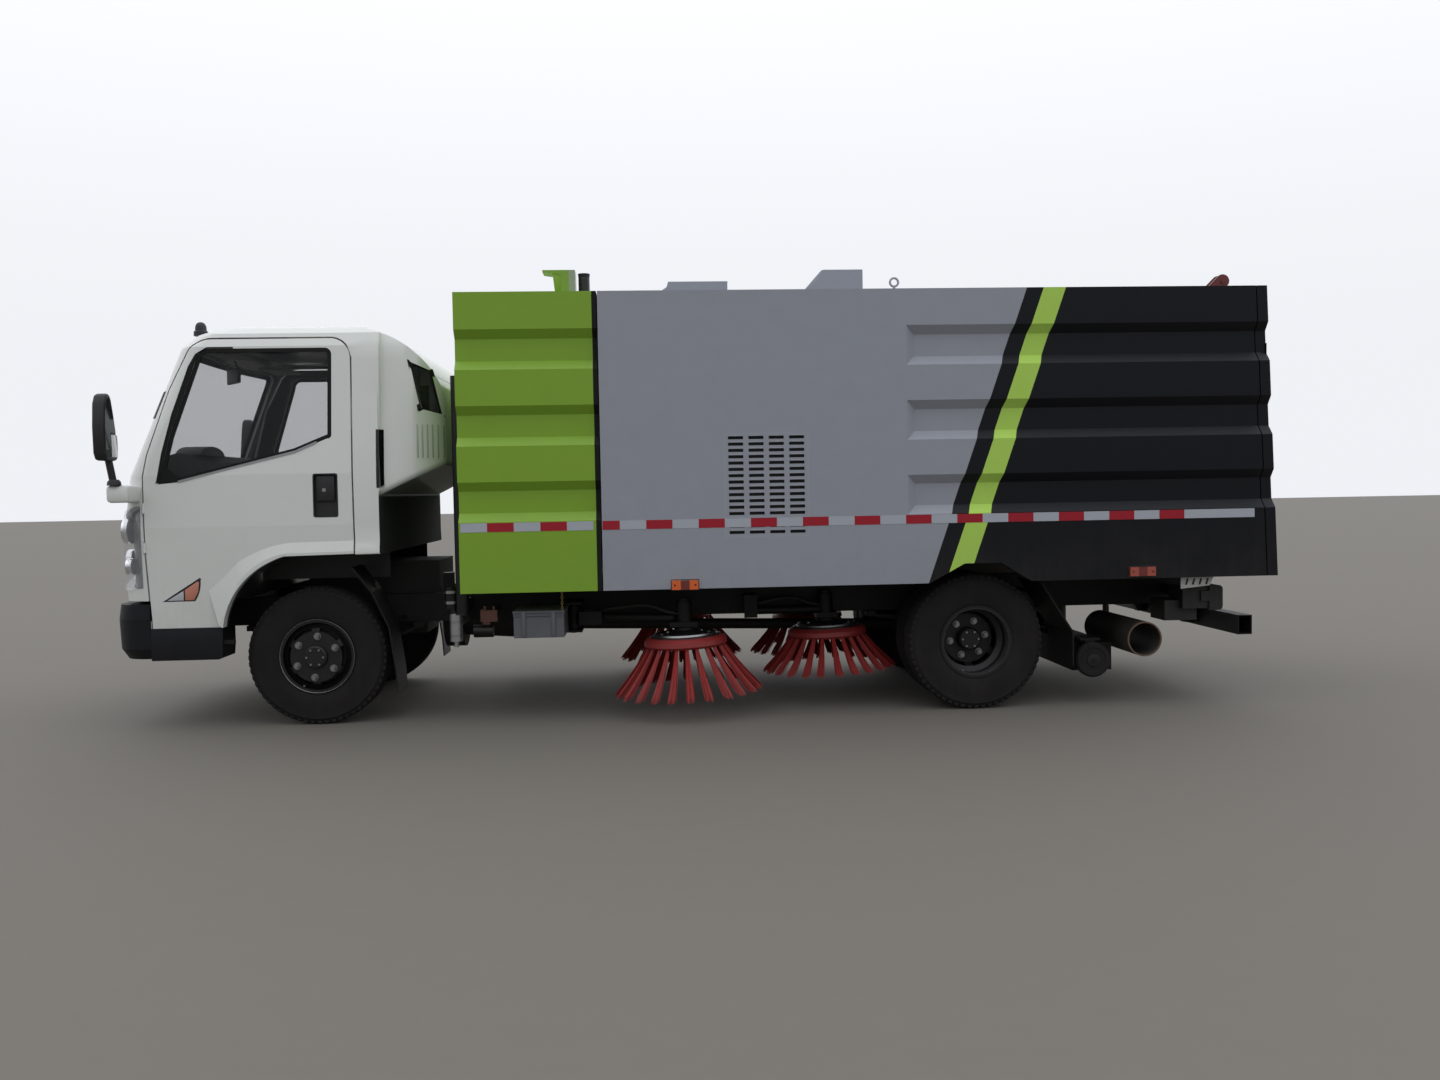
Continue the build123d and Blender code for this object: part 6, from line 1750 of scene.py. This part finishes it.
class SWEEPER_OT_body_trim(Operator):
    """Adds the marker lamps' bases, the roof pipe's mouth, the tailgate's keepers and its blank plate"""
    bl_idname = "sweeper.body_trim"
    bl_label = "Body trim"

    def execute(self, context):
        fit_pairs([(marker_base(*row), "hopper", "black_plastic", lamp_body) for row in MARKER_BASES])
        mouth = turned("pipe_mouth", PIPE_MOUTH_PROFILE, (FRONT_AXLE_X + 1.570, -0.900, 0), UP, 24)
        fitted(mouth, "chassis", lamp_body())
        keepers = []
        for side, s in SIDES:
            for z in KEEPER_LEVELS:
                x = rear_face(z)
                keepers.append(block("keeper", (x - 0.004, x), sorted((s * 0.985, s * 1.070)),
                                     (z - 0.045, z + 0.045), 0.0015))
        x = rear_face(1.00) - 0.0010
        line = [(x, a * 0.28, REAR_PLATE_LEVEL + b * 0.07) for a, b in CORNERS]
        blank = plate("rear_plate", line, (0.0008, 0, 0))
        fitted(blank, "tailgate", plain_plate())
        fitted(joined("keepers", keepers), "tailgate", chassis_black())
        return {"FINISHED"}


ROOF_LEVEL = BODY_TOP + 0.0006
HOOD_MIDDLE_Y = -0.250
# Sheets of the two hoods: name, half width and outline seen from the side
HOOD_SHEETS = (
    ("low_hood_front", 0.179, ((1.850, ROOF_LEVEL), (2.094, 2.5825), (2.112, 2.5825), (2.060, ROOF_LEVEL))),
    ("low_hood_lip", 0.179, ((2.380, 2.500), (2.400, 2.500), (2.424, 2.5830), (2.380, 2.5830))),
    ("tall_hood_front", 0.199, ((2.800, ROOF_LEVEL), (3.000, 2.6440), (3.024, 2.6440), (2.910, ROOF_LEVEL))))
SCOOP_FRONT = ((1.396, 2.545), (1.446, 2.545), (1.446, ROOF_LEVEL), (1.410, ROOF_LEVEL))
SCOOP_SPAN = (-0.958, 0.116)


class SWEEPER_OT_roof_sheets(Operator):
    """Adds the sloping fronts of the roof hoods and the scoop's front sheet"""
    bl_idname = "sweeper.roof_sheets"
    bl_label = "Roof sheets"

    def execute(self, context):
        for name, half, line in HOOD_SHEETS:
            sheet = plate(name, side_face(line, HOOD_MIDDLE_Y - half), (0, 2 * half, 0), 0.0015)
            fitted(sheet, "hopper", plain_grey())
        sheet = plate("scoop_front", side_face(SCOOP_FRONT, SCOOP_SPAN[0]), (0, SCOOP_SPAN[1], 0), 0.002)
        fitted(sheet, "chassis", body_green())
        return {"FINISHED"}


# Tail and underside

# Lenses of the tail lamps: name, ranges of X, Y and Z, slot and finish
TAIL_LENSES = (
    ("tail_lens_", (5.268, 5.2815), (0.772, 0.948), (0.560, 0.680), "red_lens", red_lens),
    ("reverse_lens_", (5.270, 5.2825), (0.778, 0.828), (0.570, 0.670), "lamp_glass", clear_trim))
BRACKET_LINE = ((4.987, 0.683), (5.160, 0.700), (5.184, 0.753), (4.987, 0.753))
BRACKET_Y = -1.048
SLOT_LINE = ((0.0, 0.706), (0.012, 0.706), (0.022, 0.742), (0.010, 0.742))
CHAIN_PLACE = (1.410, -1.000, 0.744)
CHAIN_LINKS = 9
CHAIN_PITCH = 0.0155
LINK_HALF = (0.006, 0.009)
RIM_BARREL_FACE = 0.973
RIM_BARREL_DEPTH = 0.075
RIM_BARREL_RADII = (0.1936, 0.1922)
NOZZLE_HUB_PROFILE = ((0.0, -0.004), (0.040, -0.004), (0.038, 0.0008), (0.026, 0.0012), (0.022, 0.0022),
                      (0.0, 0.0022))
# Clamps round the filter's canisters: name, place, height and radius
CLAMPS = (("lower_clamp", 0.797, 0.500, 0.0375), ("middle_clamp", 0.797, 0.580, 0.0375),
          ("upper_clamp", 0.770, 0.690, 0.0335), ("top_clamp", 0.770, 0.750, 0.0335))


def slotted_bracket():
    """The bracket's sheet and the dark slots on it: thin dark plates on its face, painted shade where holes
    would be.
    """
    sheet = plate("slotted_bracket", side_face(BRACKET_LINE, BRACKET_Y), (0, 0.004, 0), 0.001)
    slots = []
    for i in range(4):
        line = [(5.012 + 0.040 * i + x, z) for x, z in SLOT_LINE]
        slots.append(plate("slot", side_face(line, BRACKET_Y - 0.0008), (0, 0.0012, 0)))
    return sheet, joined("bracket_slots", slots)


def drain_chain():
    """Flat links, each turned by a quarter against the one above it."""
    links = []
    x0, y, top = FRONT_AXLE_X + CHAIN_PLACE[0], CHAIN_PLACE[1], CHAIN_PLACE[2]
    for i in range(CHAIN_LINKS):
        z = top - CHAIN_PITCH * i
        along = Vector((0, 1, 0)) if i % 2 else Vector((1, 0, 0))
        line = [Vector((x0, y, z + b * LINK_HALF[1])) + along * a * LINK_HALF[0] for a, b in CORNERS]
        links.append(hoop("link", line, 0.0022, (0.0025, 0, 0) if i % 2 else (0, 0.0025, 0)))
    return joined("drain_chain", links)


def rim_barrel(name, s):
    """The worn inner wall of the outer rear rim; its bright scuffs are also painted reflection."""
    outer, inner = RIM_BARREL_RADII
    deep = -s * RIM_BARREL_DEPTH
    profile = [(outer, 0.0), (outer, deep), (inner, deep), (inner, 0.0), (outer, 0.0)]
    return turned(name, profile, (REAR_AXLE_X, s * RIM_BARREL_FACE, TYRE_RADIUS), ACROSS, 64)


def nozzle_hub(side, s):
    low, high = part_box("nozzle_wheel_" + side)
    middle = (low + high) / 2
    face = low.y if s < 0 else high.y
    return turned("nozzle_hub_" + side, NOZZLE_HUB_PROFILE, (middle.x, face, middle.z), (0, s, 0), 32)


def box_straps():
    """Straps and the lid's edge on the face of the battery box."""
    low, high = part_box("battery_box")
    deep, tall = (low.y - 0.0030, low.y + 0.002), (low.z + 0.006, high.z - 0.002)
    straps = [block("strap", (x, x + 0.022), deep, tall, 0.001) for x in (low.x + 0.050, high.x - 0.075)]
    y = low.y - 0.002
    left, right, bottom, top = low.x + 0.004, high.x - 0.004, high.z - 0.028, high.z - 0.003
    line = [(left, y, bottom), (right, y, bottom), (right, y, top), (left, y, top)]
    lid = hoop("lid", line, 0.006, (0, 0.003, 0))
    return joined("box_straps", straps + [lid])


def clamp(name, x, z, radius):
    profile = [(radius - 0.002, -0.008), (radius, -0.008), (radius, 0.008), (radius - 0.002, 0.008),
               (radius - 0.002, -0.008)]
    return turned(name, profile, (FRONT_AXLE_X + x, -0.900, z), UP, 32)


class SWEEPER_OT_tail(Operator):
    """Adds the tail lamps' lenses, the slotted bracket, the chain, and straps and clamps under the body"""
    bl_idname = "sweeper.tail"
    bl_label = "Tail and chassis"

    def execute(self, context):
        for side, s in SIDES:
            for name, xs, ys, zs, slot, maker in TAIL_LENSES:
                places = [FRONT_AXLE_X + x for x in xs]
                lens = block(name + side, places, sorted(s * y for y in ys), zs, 0.003)
                fitted(lens, "chassis", maker())
            fitted(rim_barrel("rim_barrel_" + side, s), "rear_wheels_" + side, worn_rim_and_reflection())
            fitted(nozzle_hub(side, s), "nozzle_wheel_" + side, wheel_black())
        sheet, slots = slotted_bracket()
        fitted(sheet, "chassis", plain_plate())
        # The dark slots are painted shade.
        fitted(slots, "chassis", lamp_body())
        fitted(drain_chain(), "chassis", brass())
        fitted(box_straps(), "chassis", grey_box())
        for row in CLAMPS:
            fitted(clamp(*row), "chassis", bright_steel())
        return {"FINISHED"}


# Oil pipes: for each kind of arm, how far in front of the brush's axis it starts and how far out
ARM_STARTS = {"outer": (0.532, 0.640), "inner": (0.475, BRUSHES["inner"]["place"][1])}
PORT_LEVEL = 0.592
# Middle points of a pipe: metres in front of the brush, share of the way out to it, height
PIPE_MIDDLES = ((0.20, 0.72, 0.640), (0.34, 0.36, 0.628))


class SWEEPER_OT_oil_pipes(Operator):
    """Runs the brush motors' oil pipes along their arms"""
    bl_idname = "sweeper.oil_pipes"
    bl_label = "Oil pipes"

    def execute(self, context):
        for kind, (back, far_y) in ARM_STARTS.items():
            x, y = BRUSHES[kind]["place"]
            for side, s in SIDES:
                for number, e in enumerate((-0.022, 0.022)):
                    port = Vector((x - 0.064, s * y + e, PORT_LEVEL))
                    route = [port, port + Vector((-0.050, 0, 0.006))]
                    for ahead, share, z in PIPE_MIDDLES:
                        route.append(Vector((x - ahead, s * (far_y + share * (y - far_y)) + e, z)))
                    route.append(Vector((x - back + 0.05, s * far_y + e, 0.604)))
                    hose = pipe("%s_oil_pipe_%s_%d" % (kind, side, number + 1), route, 0.010)
                    fitted(hose, "%s_arm_%s" % (kind, side), hose_rubber())
        return {"FINISHED"}


# Stage

CAMERA_PLACE = (-0.2817, -7.7955, 1.2993)
CAMERA_YAW = math.radians(3.373)
CAMERA_PITCH = math.radians(-2.35)
CAMERA_ROLL = math.radians(-1.042)
CAMERA_LENS = 29.85
# Strength of the light from the horizon before and behind the truck, and from above
NEAR_HORIZON = 0.38
FAR_HORIZON = 0.92
ZENITH = 1.34


def aim():
    """The camera's right, up and back directions as one matrix."""
    flat = math.cos(CAMERA_PITCH)
    ahead = Vector((math.sin(CAMERA_YAW) * flat, math.cos(CAMERA_YAW) * flat, math.sin(CAMERA_PITCH)))
    level = Vector((math.cos(CAMERA_YAW), -math.sin(CAMERA_YAW), 0))
    above = level.cross(ahead)
    right = math.cos(CAMERA_ROLL) * level + math.sin(CAMERA_ROLL) * above
    up = -math.sin(CAMERA_ROLL) * level + math.cos(CAMERA_ROLL) * above
    return Matrix((right, up, -ahead)).transposed().to_4x4()


class SWEEPER_OT_stage(Operator):
    """Sets up the floor, the soft light and the camera of the photograph"""
    bl_idname = "sweeper.stage"
    bl_label = "Stage"

    def execute(self, context):
        clear_selection()
        bpy.ops.object.camera_add()
        camera = context.object
        camera.name = "photo_camera"
        camera.matrix_world = Matrix.Translation(CAMERA_PLACE) @ aim()
        camera.data.sensor_width = 36
        camera.data.lens = CAMERA_LENS
        camera.data.clip_end = 400
        context.scene.camera = camera
        clear_selection()
        bpy.ops.mesh.primitive_plane_add(size=160)
        floor = settled("floor")
        floor.data.materials.append(pale_floor())
        world = context.scene.world or bpy.data.worlds.new("sky")
        context.scene.world = world
        world.use_nodes = True
        sky = world.node_tree.nodes["Background"]
        sky.inputs["Color"].default_value = (0.94, 0.96, 1.0, 1)
        tree = world.node_tree
        add, subtract, multiply = arithmetic(tree, "ADD", "SUBTRACT", "MULTIPLY")
        x, y, z = parted(tree, tree.nodes.new("ShaderNodeTexCoord").outputs["Generated"])
        high = ramp_between(tree, z, 0.08, 0.85)
        far = ramp_between(tree, y, -0.35, 0.25)
        low_light = add(multiply(far, FAR_HORIZON - NEAR_HORIZON), NEAR_HORIZON)
        tree.links.new(add(low_light, multiply(subtract(ZENITH, low_light), high)), sky.inputs["Strength"])
        context.scene.view_settings.view_transform = "Standard"
        return {"FINISHED"}


class SWEEPER_PT_panel(Panel):
    """Lists the steps that dress the truck"""
    bl_label = "Street sweeper"
    bl_idname = "SWEEPER_PT_panel"
    bl_space_type = "VIEW_3D"
    bl_region_type = "UI"
    bl_category = "Sweeper"

    def draw(self, context):
        for operator in STEPS:
            self.layout.operator(operator.bl_idname)


STEPS = (SWEEPER_OT_stage, SWEEPER_OT_frame_finishes, SWEEPER_OT_tyres, SWEEPER_OT_wheel_nuts,
         SWEEPER_OT_brushes, SWEEPER_OT_cab_windows, SWEEPER_OT_cab_front, SWEEPER_OT_cab_side_trim,
         SWEEPER_OT_cab_inside, SWEEPER_OT_seats, SWEEPER_OT_louvres, SWEEPER_OT_body_trim,
         SWEEPER_OT_roof_sheets, SWEEPER_OT_tail, SWEEPER_OT_oil_pipes, SWEEPER_OT_tape)
CLASSES = (SweeperPaint, SweeperSizes) + STEPS + (SWEEPER_PT_panel,)


def register():
    for item in CLASSES:
        bpy.utils.register_class(item)
    bpy.types.Scene.sweeper_paint = PointerProperty(type=SweeperPaint)
    bpy.types.Scene.sweeper_sizes = PointerProperty(type=SweeperSizes)


def unregister():
    del bpy.types.Scene.sweeper_sizes
    del bpy.types.Scene.sweeper_paint
    for item in reversed(CLASSES):
        bpy.utils.unregister_class(item)


def main():
    register()
    bpy.ops.sweeper.stage()
    bpy.ops.sweeper.frame_finishes()
    bpy.ops.sweeper.tyres()
    bpy.ops.sweeper.wheel_nuts()
    bpy.ops.sweeper.brushes()
    bpy.ops.sweeper.cab_windows()
    bpy.ops.sweeper.cab_front()
    bpy.ops.sweeper.cab_side_trim()
    bpy.ops.sweeper.cab_inside()
    bpy.ops.sweeper.seats()
    bpy.ops.sweeper.louvres()
    bpy.ops.sweeper.body_trim()
    bpy.ops.sweeper.roof_sheets()
    bpy.ops.sweeper.tail()
    bpy.ops.sweeper.oil_pipes()
    bpy.ops.sweeper.tape()


if __name__ == "__main__":
    main()
